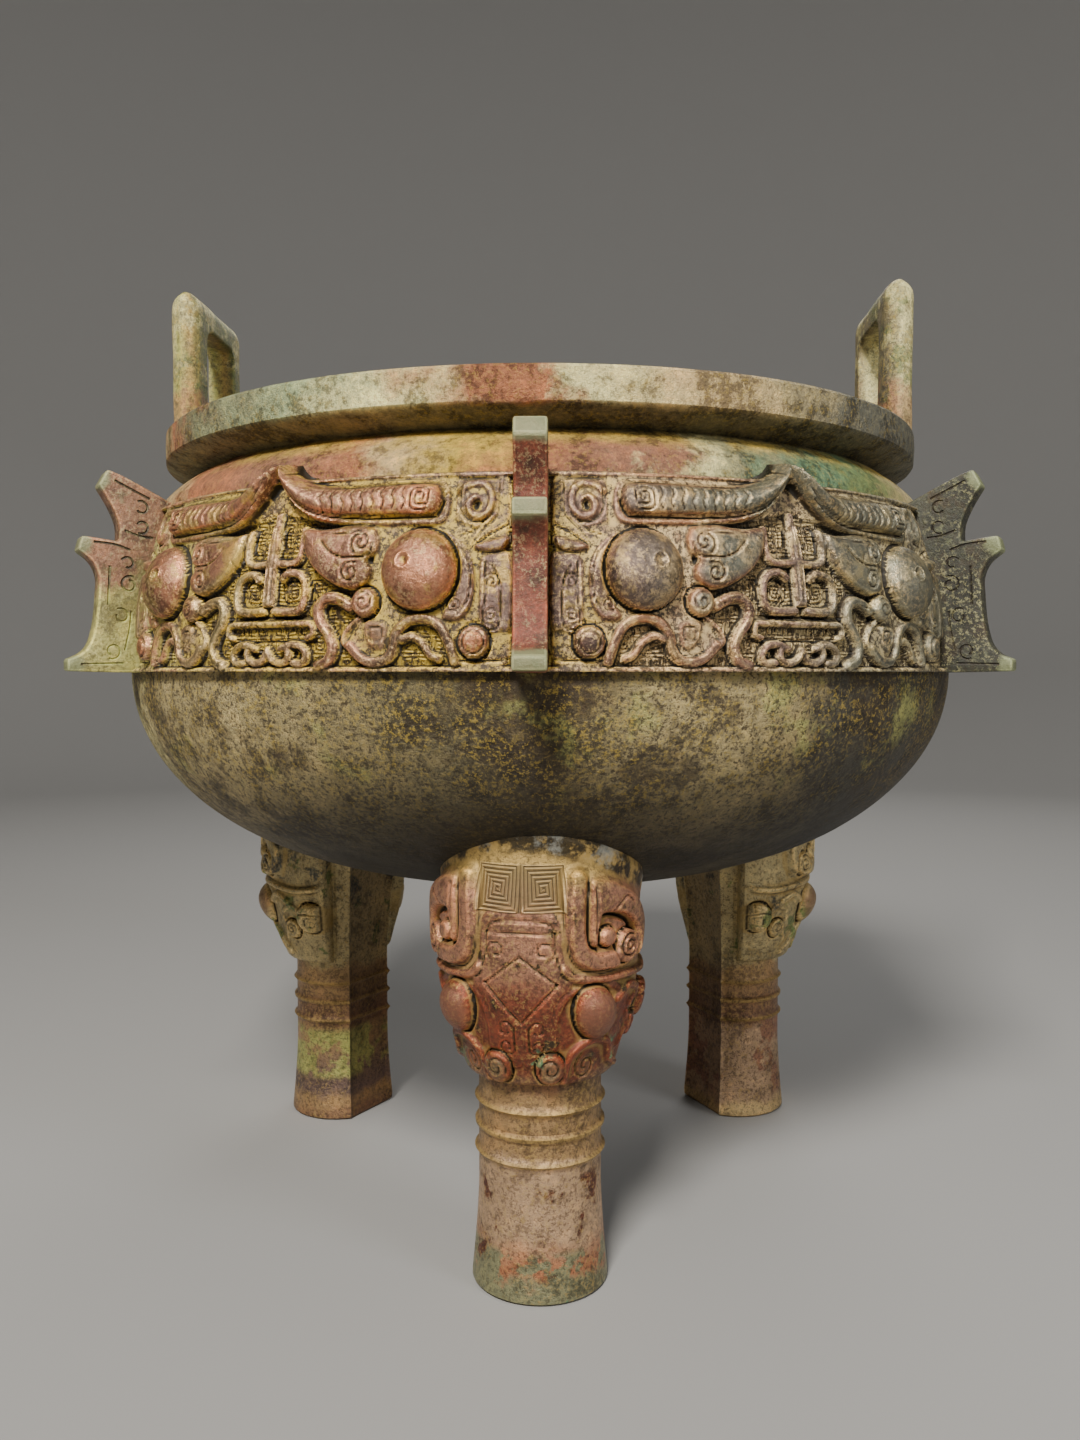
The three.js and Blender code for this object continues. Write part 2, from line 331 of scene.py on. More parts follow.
# Colours of the patina: the reds of cuprite, the greens of old copper salts, and earth.
rose = (0.34, 0.162, 0.10, 1)
salmon = (0.46, 0.178, 0.085, 1)
straw = (0.60, 0.42, 0.07, 1)
lime = (0.46, 0.47, 0.14, 1)
bone = (0.88, 0.80, 0.38, 1)
cream = (0.70, 0.50, 0.24, 1)
moss = (0.16, 0.21, 0.075, 1)
jade = (0.14, 0.27, 0.15, 1)
sage = (0.24, 0.24, 0.135, 1)
khaki = (0.29, 0.235, 0.115, 1)
olive = (0.17, 0.145, 0.075, 1)
umber = (0.055, 0.038, 0.020, 1)
slate = (0.15, 0.15, 0.115, 1)
# Near black, for soot and for painted shade.
soot_and_shade = (0.018, 0.016, 0.012, 1)
coal = (0.065, 0.062, 0.048, 1)
mint = (0.42, 0.50, 0.27, 1)
clay = (0.47, 0.38, 0.19, 1)


def across(stops, waver, seed=0.0):
    """A colour that runs from the vessel's left to its right, with an uneven border."""
    side = parts(Wire.node("TexCoord", output=3))[0]
    drift = cloud(13.0 + seed, 5.0, 0.65) * 0.6 + cloud(55.0 + seed, 6.0, 0.75) * 0.4
    far = side * (0.5 / 0.17) + 0.5 + (drift - 0.5) * (2 * waver)
    return Wire.node("ValToRGB", {"stops": stops}, {0: far})


def new_finish(name):
    """An empty material, which the wires made from here on belong to."""
    material = bpy.data.materials.new(name)
    material.use_nodes = True
    Wire.tree = material.node_tree
    Wire.tree.nodes.clear()
    return material


dark_mottle = (0.20, 0.185, 0.18, 1)
pale_mottle = (1.6, 1.5, 1.3, 1)


def weathered(colour, dust, dusting, pitting, mottling):
    """What every face of the vessel shows: dark and pale mottling, dust, and fine dark pits."""
    broad = cloud(60.0, 6.0, 0.72)
    medium = cloud(210.0, 6.0, 0.8)
    grain = cloud(640.0, 4.0, 0.85)
    tone = broad * 0.5 + medium * 0.5
    colour = blended(colour, dark_mottle, span(tone, 0.50, 0.57) * mottling, "MULTIPLY")
    pale = (1 - span(tone, 0.42, 0.48)) * mottling
    colour = blended(colour, pale_mottle, pale, "MULTIPLY")
    specks = span(grain, 0.53, 0.57) * span(broad, 0.36, 0.58)
    colour = blended(colour, dust, specks * dusting)
    pits = 1 - span(grain * 0.8 + medium * 0.2, 0.44, 0.475)
    return blended(colour, umber, pits * pitting), tone, grain, medium


def finished(colour, roughness, metal, bump, strength, depth):
    """Closes the tree with the metal's own shader."""
    relief = Wire.node("Bump", {}, {"Strength": strength, "Distance": depth, "Height": bump})
    inputs = {"Base Color": colour, "Roughness": roughness, "Metallic": metal, "Normal": relief}
    shader = Wire.node("BsdfPrincipled", {}, inputs)
    out = Wire.tree.nodes.new("ShaderNodeOutputMaterial")
    Wire.tree.links.new(shader.socket, out.inputs["Surface"])


bowl_finish = new_finish("bowl_patina")
side, _, up = parts(Wire.node("TexCoord", output=3))
lip_stops = [(0.03, salmon), (0.08, clay), (0.13, salmon), (0.18, sage), (0.27, mint), (0.35, bone)]
lip_stops += [(0.39, cream), (0.43, salmon), (0.49, salmon), (0.53, bone), (0.64, cream)]
lip_stops += [(0.71, clay), (0.80, slate)]
neck_stops = [(0.03, cream), (0.10, salmon), (0.24, rose), (0.32, salmon), (0.37, cream)]
neck_stops += [(0.44, straw), (0.51, salmon), (0.60, rose), (0.645, bone), (0.70, sage)]
neck_stops += [(0.77, jade), (0.84, moss), (0.90, clay), (0.96, bone)]
belly_stops = [(0.02, bone), (0.10, clay), (0.22, clay), (0.30, khaki), (0.38, olive), (0.50, umber)]
belly_stops += [(0.57, khaki), (0.65, clay), (0.72, khaki), (0.77, coal), (0.93, coal)]
belly_stops += [(0.98, slate)]
wavering = cloud(46.0, 5.0, 0.7)
level = up + (wavering - 0.5) * 0.005
belly_colour = across(belly_stops, 0.17, 5.0)
blooms = span(cloud(34.0, 6.0, 0.7), 0.54, 0.64) * span(up, 0.165, 0.185)
belly_colour = blended(belly_colour, lime, blooms * 0.6)
dark_patches = span(cloud(19.0, 6.0, 0.7), 0.50, 0.58)
belly_colour = blended(belly_colour, umber, dark_patches * 0.78)
under_lip = across([(0.03, sage), (0.25, khaki), (0.45, olive), (0.7, olive), (0.9, slate)], 0.2, 7.0)
neck_colour = across(neck_stops, 0.26, 3.0)
ochre_seam = span(level, 0.2805, 0.2855) * span(wavering, 0.38, 0.55)
neck_colour = blended(neck_colour, straw, ochre_seam * 0.8)
colour = blended(belly_colour, neck_colour, span(level, 0.262, 0.272))
colour = blended(colour, under_lip, span(level, 0.2868, 0.2886))
colour = blended(colour, across(lip_stops, 0.22), span(level, 0.2925, 0.2950))
smoother = span(up, 0.262, 0.275)
dusting, pitting = 0.6 - smoother * 0.25, 0.85 - smoother * 0.5
colour, tone, grain, medium = weathered(colour, straw, dusting, pitting, 0.8)
# Painted shade under the belly: its lower part is darkened to near black, less high on the lit left
# side.
lit_side = 1 - span(side, -0.13, -0.02)
painted_underside_shade = 1 - span(level + lit_side * 0.014, 0.150, 0.200)
colour = blended(colour, soot_and_shade, painted_underside_shade * 0.88)
finished(colour, 0.28 + tone * 0.5, 0.35, grain * 0.9 + medium, 0.85, 0.0015)
bowl.data.materials.append(bowl_finish)
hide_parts("ding")
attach(bowl, "root")

# The six panels of the band: each holds one mask, cast with the wall, from one flange to the next.
# An eye, a ribbed horn whose tip stands free, an ear, a jaw and a column of squared spirals stand
# out of a sunk ground, and each half mirrors the other.
masks_apart = math.pi / 3
half_panel = masks_apart / 2
half_span = belly_radius * half_panel + 0.5
eye_spot = (34.6, 30)
panel_limit = 173.2


class Carving:
    """Heights of a carved surface, in millimetres, at points of its flat chart."""

    def __init__(self, along, height, ground):
        self.x, self.y = along, height
        self.lift = np.full(along.shape, float(ground))

    def gap(self, path, closed=False):
        """Distance of each point from a line."""
        if closed:
            path = np.vstack([path, path[:1]])
        reach = 9
        low, high = path.min(0) - reach, path.max(0) + reach
        near = (self.x > low[0]) & (self.x < high[0]) & (self.y > low[1]) & (self.y < high[1])
        x, y = self.x[near], self.y[near]
        best = np.full(x.shape, 1e6)
        for (x0, y0), (x1, y1) in zip(path[:-1], path[1:]):
            run, rise = x1 - x0, y1 - y0
            t = np.clip(((x - x0) * run + (y - y0) * rise) / (run * run + rise * rise + 1e-9), 0, 1)
            best = np.minimum(best, (x - x0 - t * run) ** 2 + (y - y0 - t * rise) ** 2)
        gap = np.full(self.x.shape, 100.0)
        gap[near] = np.sqrt(best)
        return gap

    def depth_in(self, path):
        """Distance inside a closed line, less than zero outside it."""
        gap = self.gap(path, True)
        held = np.zeros(self.x.shape, bool)
        loop = np.vstack([path, path[:1]])
        for (x0, y0), (x1, y1) in zip(loop[:-1], loop[1:]):
            if y0 != y1:
                spans = (y0 > self.y) != (y1 > self.y)
                held ^= spans & (self.x < (x1 - x0) * (self.y - y0) / (y1 - y0) + x0)
        return np.where(held, gap, -gap)

    @staticmethod
    def step(distance, edge):
        """0 outside an edge and 1 inside it, with a slope as wide as the edge."""
        return 1 / (1 + np.exp(np.clip(-distance / (edge * 0.25), -40, 40)))

    def strip(self, points, half, top, edge=0.7):
        """A raised band along a smooth line."""
        share = self.step(half - self.gap(smooth_path(points)), edge)
        self.lift += (np.maximum(top, self.lift) - self.lift) * share

    def patch(self, points, top, edge, crown=0.0, reach=6.0, smooth=True):
        """A raised field inside a closed outline, flat or crowned."""
        inner = self.depth_in(smooth_path(points, True) if smooth else np.array(points, float))
        share = self.step(inner, edge)
        bulge = crown * np.sqrt(1 - (1 - np.clip(inner / reach, 0, 1)) ** 2)
        self.lift = self.lift * (1 - share) + (top + bulge) * share

    def groove(self, points, half, depth):
        """A line cut into what is there."""
        self.lift -= depth * np.exp(-((self.gap(smooth_path(points)) / half) ** 2))

    def dome(self, x, y, radius, top, base, power=2.1, crease=0.9):
        """A round boss with a crease about its foot."""
        out = np.hypot(self.x - x, self.y - y)
        rise = np.clip(1 - (out / radius) ** power, 0, 1) ** (1 / power)
        boss = np.maximum(self.lift, base + (top - base) * rise)
        self.lift = np.where(out < radius, boss, self.lift)
        self.lift -= crease * np.exp(-(((out - radius - 0.3) / 0.45) ** 2))


def curl(x, y, wide, narrow, turns, start=0.0, hand=1, square=0.0):
    """The points of a spiral that winds inwards. With square above 2 its turns are squared."""
    count = max(6, int(abs(turns) * 30))
    points = []
    for i in range(count + 1):
        angle = math.radians(start) + hand * turns * 2 * math.pi * i / count
        radius = wide + (narrow - wide) * i / count
        across_it, up_it = math.cos(angle), math.sin(angle)
        if square:
            radius /= (abs(across_it) ** square + abs(up_it) ** square) ** (1 / square)
        points.append((x + radius * across_it, y + radius * up_it))
    return points


def carve_face(carving):
    """The low ground of the face, its upper border and the motifs close to the flange."""
    face = [(8, 59), (8, 30), (7, 3), (22, 1.5), (27, 9), (31, 15), (37, 15.5), (42, 12), (44.5, 5)]
    face += [(49, 2.2), (55, 4), (59, 8), (55, 14), (52, 16), (56, 22), (52, 30), (52, 36)]
    face += [(62, 43.8), (90, 50), (93, 57), (60, 59), (30, 60)]
    carving.patch(face, -0.6, 1.2)
    carving.strip([(4, 59.2), (92, 59.2)], 0.7, 0.4, 0.6)
    panel = [(9.5, 57.3), (24, 57.3), (24, 44.5), (17, 42.5), (10, 46.5)]
    carving.patch(panel, 0.2, 0.8, smooth=False)
    carving.groove([(10.5, 57), (10.5, 47), (16, 41), (18.5, 37.6)], 0.3, 0.7)
    carving.groove([(24.3, 57.6), (11, 57.6)], 0.3, 0.8)
    scroll = [(23, 53.5), (20.5, 55.5), (16, 56), (13.2, 53.5), (12.8, 49.5), (15, 46.2)]
    scroll += [(18.6, 46.6), (20.2, 49.4), (18.6, 51.6), (16.8, 51)]
    carving.strip(scroll, 1.0, 1.3, 0.6)
    carving.groove([(17.6, 48.8), (17.2, 50.2)], 1.1, 2.2)
    rim = [(22.6, 54.5), (23, 49), (20, 44.8), (15.5, 44.2), (12.2, 46.6)]
    carving.groove(rim, 0.35, 0.9)
    carving.groove([(14, 46), (17.5, 41.8), (22, 40.5)], 0.3, 0.7)
    carving.patch([(7, 39.5), (12, 38.8), (18, 36.8), (13.5, 35.3), (8.6, 36)], 1.0, 0.8, 0.5, 2)
    carving.groove([(7.5, 43.2), (12.5, 40.6), (18.6, 36.6)], 0.32, 1.0)
    side = [(6, 33), (10, 34.5), (15.3, 33), (15.8, 24), (15, 12.5), (9, 12), (6, 14)]
    carving.patch(side, 0.6, 0.9)
    line = [(14.2, 32), (13.8, 24), (14.6, 13.6), (10.2, 12.8), (9.2, 20), (10, 27), (12, 31)]
    carving.groove(line, 0.32, 0.8)
    carving.groove(curl(12, 26.2, 2.6, 0.5, 1.6, 40), 0.3, 0.7)
    carving.groove(curl(12.2, 16.4, 2.2, 0.4, 1.5, 200, -1), 0.3, 0.7)
    lid = [(26.5, 41), (21, 37), (18, 31), (17.4, 25), (18.6, 19), (22, 15.3), (27, 15.6)]
    lid += [(25.6, 19.4), (22.6, 25), (22, 31), (24, 37)]
    carving.patch(lid, 0.7, 0.9, 0.4, 2)
    lid_line = [(25.2, 39.8), (20.4, 34.8), (18.6, 28.6), (19.2, 21.4), (22.4, 16.8)]
    carving.groove(lid_line, 0.3, 0.8)
    carving.groove(curl(23.6, 19.6, 2.6, 0.5, 1.7, 100, -1), 0.32, 0.8)


def carve_horn(carving):
    """A horn: a flat rim, a ribbed round body in it, and a tip that leaves the wall."""
    rim = [(26, 50.5), (27.6, 55.4), (31.5, 57.4), (45, 57.4), (60, 57), (72, 57.2), (79, 59)]
    rim += [(84, 61.8), (88.6, 65.5), (88.9, 63), (86.6, 58.6), (83, 53.8), (78.4, 49.4)]
    rim += [(72, 46.4), (64, 45), (52, 44), (38, 43.6), (30.5, 43.6), (27, 45.4)]
    carving.patch(rim, 0.9, 0.9)
    body = [(28.4, 51), (29.4, 54.6), (32.4, 56.2), (45, 56.2), (60, 55.8), (72, 56.2), (79, 58.4)]
    body += [(84, 61.2), (88.2, 65), (87.6, 62.4), (84.6, 58), (80.6, 53.8), (76, 50.6)]
    body += [(70, 48.6), (62, 47.4), (50, 46.8), (38, 46.4), (31.5, 46.6), (29.2, 48.2)]
    carving.patch(body, 0.9, 1.2, 3.6, 4.6)
    free = 7.5 * np.clip((carving.x - 62) / 25, 0, 1) ** 1.6
    carving.lift += free * carving.step(carving.depth_in(smooth_path(rim, True)), 1.2)
    carving.groove([(27.4, 52), (29, 56), (33, 57)], 0.3, 0.6)
    under = [(28, 50.5), (29.4, 46.9), (33, 45.6), (50, 45.8), (62, 46.4), (70, 47.4)]
    under += [(77, 50), (82, 54)]
    carving.groove(under, 0.4, 1.1)
    carving.groove(curl(35.2, 51.6, 3.9, 0.6, 2.1, 250, square=4), 0.32, 0.8)
    for rib in range(9):
        start = 41 + rib * 3.6
        wave = [(start, 55), (start + 0.6, 53), (start - 0.7, 50.6), (start + 0.2, 48.4)]
        carving.groove(wave, 0.32, 0.85)
    carving.groove([(40, 56.8), (60, 56.6), (72, 57.4)], 0.3, 0.5)


def carve_eye_and_ear(carving):
    """The round eye with its dimple, the pointed ear, and two small bosses."""
    carving.dome(*eye_spot, 12.3, 8.2, 0.2, crease=0.4)
    out = np.hypot(carving.x - 37.8, carving.y - 32.4)
    carving.lift += 0.5 * np.exp(-(((out - 2.3) / 0.45) ** 2)) - 1.1 * np.exp(-((out / 1.5) ** 2))
    ear = [(49.6, 41.5), (51.5, 43.4), (60, 44), (70, 43.2), (76.8, 43.6), (76.2, 38), (73.4, 33)]
    ear += [(68, 28.4), (61, 25.2), (55, 24.6), (51.4, 27), (50.6, 30.6), (52.2, 33.4)]
    ear += [(49.6, 35.6), (48.8, 38.6)]
    carving.patch(ear, 0.6, 0.9, 2.2, 6)
    fold = [(50.6, 38.2), (51.6, 35.2), (54.8, 34.2), (60, 34.2), (65, 36), (68.4, 39.2)]
    carving.groove(fold, 0.34, 0.9)
    carving.groove(curl(54.4, 38.6, 3.6, 0.5, 1.5, -60), 0.34, 0.9)
    carving.groove([(55, 42.2), (62, 41.6), (70, 42.2)], 0.3, 0.6)
    carving.groove(curl(57.4, 29.6, 3.4, 0.5, 1.5, 120, -1), 0.34, 0.9)
    carving.groove([(60.4, 38), (62.4, 34.6)], 0.3, 0.5)
    carving.dome(52.4, 20.6, 4.5, 3.0, 0.2, 2.2)
    carving.groove(curl(52.4, 20.6, 3.2, 0.3, 1.5, 60), 0.34, 0.7)
    carving.dome(17.4, 8.6, 4.9, 3.2, 0.2, 2.4)
    carving.groove(curl(17.4, 8.6, 3.3, 3.3, 1), 0.34, 0.8)
    carving.groove([(7, 3.6), (14, 3), (22.6, 3.4), (24.4, 6.6), (24.8, 12)], 0.34, 0.9)
    carving.groove([(11.4, 12.8), (15, 14.6), (20.4, 14)], 0.3, 0.6)


def carve_jaw(carving):
    """The arched jaw, the chin, a fang under the arch and the hook behind it."""
    jaw = [(23.4, 3), (25.6, 9), (28.6, 13.6), (33.6, 15.6), (38.6, 14.6), (42, 11), (43.4, 6)]
    jaw += [(46, 3.4), (50.4, 2.8), (54.4, 4.4), (57.6, 7.6)]
    carving.strip(jaw, 1.5, 1.0)
    line = [(24.6, 3), (26.8, 8.6), (29.6, 12.6), (33.6, 14.4), (37.8, 13.5), (40.8, 10.4)]
    line += [(42.2, 5.8), (45.4, 2.5)]
    carving.groove(line, 0.3, 0.7)
    carving.groove([(44.6, 8), (46.4, 5), (50.4, 4.4), (53.8, 6)], 0.3, 0.7)
    carving.patch([(45.4, 14), (52, 14.6), (51.6, 9.4), (48.6, 6.6), (46, 8)], 0.5, 1.0)
    carving.groove(curl(48.8, 11.2, 2.0, 2.0, 1, square=4), 0.3, 0.7)
    carving.strip([(40.5, 9.4), (37.4, 10.4), (34, 8.6), (31.2, 5), (28.6, 3.8)], 1.2, 0.4, 0.8)
    carving.groove(curl(36.4, 5, 1.6, 0.4, 1.2), 0.3, 0.6)
    hook = [(58, 19.6), (62.4, 21.8), (66.6, 22), (69.2, 19), (68.4, 15), (65.6, 11.4)]
    hook += [(63.8, 7.4), (65.4, 3.4), (69, 1.8)]
    carving.strip(hook, 1.7, 1.1)
    line = [(60, 20.6), (66, 20.8), (67.8, 18.6), (67, 15.2), (64.4, 12), (62.8, 8), (63.8, 4)]
    carving.groove(line, 0.3, 0.7)
    carving.strip([(54.6, 15.6), (58.6, 12.4), (60, 9), (58.4, 7.6)], 1.1, 0.4, 0.8)
    for cut in range(4):
        ends = [(53.6 + cut * 1.1, 15.6 - cut * 0.9), (57.6 + cut * 0.6, 13.4 - cut * 1.1)]
        carving.groove(ends, 0.26, 0.5)


def carve_column(carving):
    """The hooked column between two masks, with its squared spirals and the bands below it."""
    post = [(87.2, 20), (87.4, 40), (88.6, 49.5), (91, 49.5), (91, 20)]
    carving.patch(post, 0.5, 0.7, smooth=False)
    carving.groove([(88.4, 22), (88.6, 38), (89.4, 48)], 0.3, 0.6)
    carving.strip([(88, 33.6), (82, 33.2), (78.6, 34.6), (77.6, 38.6), (77.9, 43.6)], 1.1, 0.4, 0.6)
    carving.groove(curl(83.2, 41.2, 4.6, 0.5, 2.6, -90, -1, 5), 0.34, 0.8)
    carving.groove([(87, 47.4), (84, 49.8), (80, 47.2)], 0.3, 0.6)
    hook = [(87, 18.6), (80, 18.4), (76.2, 19.4), (75, 22.6), (75.2, 26.6), (77.6, 29.6)]
    hook += [(82, 30.4), (84.4, 28.6)]
    carving.strip(hook, 1.2, 0.6, 0.6)
    carving.groove(curl(81.2, 24.8, 4.3, 0.5, 2.7, 60, -1, 3.5), 0.34, 0.8)
    carving.groove([(72.4, 30), (73.4, 34.6)], 0.3, 0.6)
    carving.groove(curl(71.6, 25.8, 2.4, 0.4, 1.6, square=5), 0.3, 0.7)
    carving.strip([(90, 14.6), (78, 14.6), (72.6, 14.4), (71.6, 11.4), (74, 10.2)], 0.9, 0.1, 0.6)
    carving.groove(curl(78.4, 12.4, 1.8, 0.4, 1.5, square=5), 0.3, 0.6)
    carving.groove(curl(84.4, 12.4, 1.8, 0.4, 1.5, 180, -1, 5), 0.3, 0.6)
    for height in (9.2, 16.6):
        carving.groove([(90, height), (71, height)], 0.3, 0.75)
    curls = [(89.8, 6.8), (87.4, 3.4), (83.4, 2.6), (80.8, 4.6), (81.6, 7.4), (84, 7)]
    carving.strip(curls, 1.1, 0.5, 0.6)
    carving.strip([(81, 8.2), (76.8, 8), (74, 5.2), (75.4, 2.6), (79, 2.6)], 1.1, 0.4, 0.6)
    carving.groove(curl(77.2, 5.2, 1.6, 0.3, 1.2), 0.3, 0.6)
    carving.groove(curl(70, 8.2, 2.1, 0.4, 1.6, 90, -1, 4), 0.3, 0.7)
    carving.strip([(3, 0.4), (92, 0.4)], 0.8, -0.2, 0.6)


def new_grid(name, columns, rows):
    """A flat grid, with the column and the row of each of its points."""
    bpy.ops.object.select_all(action="DESELECT")
    bpy.ops.mesh.primitive_grid_add(x_subdivisions=columns, y_subdivisions=rows, size=1)
    piece = bpy.context.object
    piece.name = name
    grid = positions(piece.data)
    column = np.rint((grid[:, 0] + 0.5) * columns).astype(int)
    row = np.rint((grid[:, 1] + 0.5) * rows).astype(int)
    return piece, column, row


def softened(table, cells):
    """A table blurred over a few cells each way."""
    width = 2 * cells + 1
    for axis in (0, 1):
        first, last = np.take(table, [0], axis), np.take(table, [-1], axis)
        padded = np.concatenate([first] * cells + [table] + [last] * cells, axis)
        sums = np.cumsum(np.insert(padded, 0, 0, axis), axis)
        count = table.shape[axis]
        ahead = np.take(sums, range(width, width + count), axis)
        table = (ahead - np.take(sums, range(count), axis)) / width
    return table


def record(mesh, name, columns):
    """Keeps three numbers for each point of a mesh, for its material."""
    kept = mesh.attributes.new(name, "FLOAT_VECTOR", "POINT")
    kept.data.foreach_set("vector", np.stack(columns, 1).astype(np.float32).ravel())


def record_carving(mesh, lift, column, row):
    """Keeps how deep each point lies among its neighbours, close by and farther off, and its lift."""
    table = np.zeros((row.max() + 1, column.max() + 1))
    table[row, column] = lift
    close, far = [(softened(table, cells) - table)[row, column] for cells in (1, 5)]
    record(mesh, "carved", [close, lift, far])


panel_columns, panel_rows = 330, 114
panel, column, row = new_grid("band_panel_1", panel_columns, panel_rows)
along = column / panel_columns * 2 * half_span
from_flange = half_span - np.abs(along - half_span)
tip_rise = 6 * np.clip((from_flange - 76) / 8, 0, 1) ** 2
height = row / panel_rows * (band_height + tip_rise)
carving = Carving(from_flange, height, -2.4)
carve_face(carving)
carve_horn(carving)
carve_eye_and_ear(carving)
carve_jaw(carving)
carve_column(carving)
angle = (along - half_span) / half_span * half_panel
above_band = np.clip(height - band_height, 0, None)
out = band_radius(height) - 0.9 * above_band + carving.lift
place(panel.data, np.stack([out * np.sin(angle), -out * np.cos(angle), band_bottom + height], 1) * mm)
record_carving(panel.data, carving.lift, column, row)
record(panel.data, "chart", [from_flange, height, np.zeros_like(height)])
front_points = len(panel.data.vertices)
bpy.ops.object.mode_set(mode="EDIT")
bpy.ops.mesh.select_mode(type="EDGE")
bpy.ops.mesh.select_all(action="DESELECT")
bpy.ops.mesh.select_non_manifold()
bpy.ops.mesh.extrude_region_move()
bpy.ops.mesh.select_all(action="DESELECT")
bpy.ops.object.mode_set(mode="OBJECT")
points = positions(panel.data)
back = points[front_points:]
wall_heights = [band_bottom, band_bottom + band_height, 278]
into_wall = np.interp(back[:, 2] / mm, wall_heights, [168, 158.6, 156.2])
back[:, :2] *= (into_wall * mm / np.hypot(back[:, 0], back[:, 1]))[:, None]
points[front_points:] = back
place(panel.data, points)
ends = abs(np.arctan2(back[:, 0], -back[:, 1])) > half_panel - 0.0001
for edge in panel.data.edges:
    a, b = edge.vertices[0] - front_points, edge.vertices[1] - front_points
    edge.select = a >= 0 and b >= 0 and not (ends[a] and ends[b])
bpy.ops.object.mode_set(mode="EDIT")
bpy.ops.mesh.bridge_edge_loops(number_cuts=2)
bpy.ops.mesh.select_all(action="DESELECT")
bpy.ops.mesh.select_non_manifold()
bpy.ops.mesh.fill_holes(sides=0)
face_outwards()
bpy.ops.object.shade_smooth_by_angle(angle=math.radians(60))


def shown(name):
    """A carved piece's own record of its recesses, its lift and its chart, made with its mesh."""
    return Wire.node("Attribute", {"attribute_name": name}, output=1)


def distance(vector, spot):
    """How far a vector is from one spot."""
    return Wire.node("VectorMath", {"operation": "DISTANCE"}, {0: vector, 1: spot}, output=1)


def squared_spirals(along, up, tile, pitch):
    """Lines of small squared spirals, each the mirror of the next: 1 in a line's middle."""
    x = along.math("PINGPONG", tile) - tile / 2
    y = up.math("PINGPONG", tile) - tile / 2
    ring = x.math("ABSOLUTE").math("MAXIMUM", y.math("ABSOLUTE"))
    turn = y.math("ARCTAN2", x) * (1 / (2 * math.pi))
    return (ring * (1 / pitch) + turn).math("FRACT").math("SUBTRACT", 0.5).math("ABSOLUTE") * 2


rust = (0.24, 0.125, 0.07, 1)
plum = (0.155, 0.10, 0.085, 1)
tarnish = (0.165, 0.10, 0.062, 1)
rubbed_metal_and_highlight = (2.2, 2.1, 1.9, 1)
panel_finish = new_finish("panel_patina")
sharp, lift, broad_recess = parts(shown("carved"))
along, up, _ = parts(shown("chart"))
raised_stops = [(0.03, sage), (0.12, rose), (0.22, khaki), (0.30, rose), (0.35, tarnish)]
raised_stops += [(0.40, tarnish), (0.46, plum), (0.53, plum), (0.60, rust), (0.70, plum)]
raised_stops += [(0.80, slate)]
horn_stops = [(0.05, salmon), (0.2, rose), (0.35, rose), (0.46, salmon), (0.56, plum)]
horn_stops += [(0.66, slate)]
dirt_stops = [(0.04, lime), (0.2, straw), (0.5, straw), (0.60, cream), (0.80, clay)]
dirt_stops += [(0.90, clay), (0.97, khaki)]
dirt = across(dirt_stops, 0.2, 4.0)
colour = blended(across(raised_stops, 0.12, 1.5), across(horn_stops, 0.1, 2.0), span(lift, 1.6, 2.8))
ochre_film = span(cloud(110.0, 6.0, 0.75), 0.50, 0.58)
colour = blended(colour, dirt, ochre_film * 0.45)
high = span(lift, -0.4, 0.8)
colour, tone, grain, medium = weathered(colour, cream, 0.5, 0.8 - high * 0.5, 0.7)
lines = squared_spirals(along, up, 5.2, 1.15)
low = span(lift * -1.0 + (medium - 0.5) * 5.0, -0.1, 1.3)
sunk = span(lift * -1.0, 1.0, 2.0)
dirt = blended(dirt, umber, (1 - span(grain * 0.7 + medium * 0.3, 0.465, 0.505)) * 0.9)
colour = blended(colour, dirt, low * 0.85)
colour = blended(colour, umber, (1 - span(lines, 0.1, 0.5)) * sunk * 0.8)
dust_edge = span(broad_recess + (medium - 0.5) * 0.9, 0.2, 0.6)
colour = blended(colour, dirt, dust_edge * 0.7)
specked = (1 - span(grain * 0.6 + medium * 0.4, 0.465, 0.505)) * (1 - high * 0.85)
colour = blended(colour, umber, specked * 0.75)
# Dark dirt and painted shade in the creases: umber in narrow ones, near black in deep ones.
colour = blended(colour, umber, span(sharp, 0.12, 0.30) * 0.9)
colour = blended(colour, soot_and_shade, span(sharp + broad_recess * 0.3, 0.40, 0.85) * 0.9)
# Worn metal and a painted highlight on convex edges: they are made paler.
rubbed_and_highlit = span(sharp * -1.0, 0.03, 0.16)
colour = blended(colour, rubbed_metal_and_highlight, rubbed_and_highlit * 0.75, "MULTIPLY")
polish = 1 - span(distance(shown("chart"), (*eye_spot, 0)), 10.8, 12.2)
roughness = 0.56 - high * 0.16 - rubbed_and_highlit * 0.1 + (tone - 0.5) * 0.6 - polish * 0.05
bump = grain * 0.5 + medium * 0.7 + lines * sunk * 1.6
finished(colour, roughness, high * 0.5 + 0.15, bump, 0.8, 0.0008)


def copied(piece, name, turn):
    """The same form cast again: a piece with its own mesh, turned round the vessel's axis."""
    again = piece.copy()
    again.name = name
    again.data = piece.data.copy()
    bpy.context.scene.collection.objects.link(again)
    again.data.transform(Matrix.Rotation(turn, 4, "Z"))
    return again


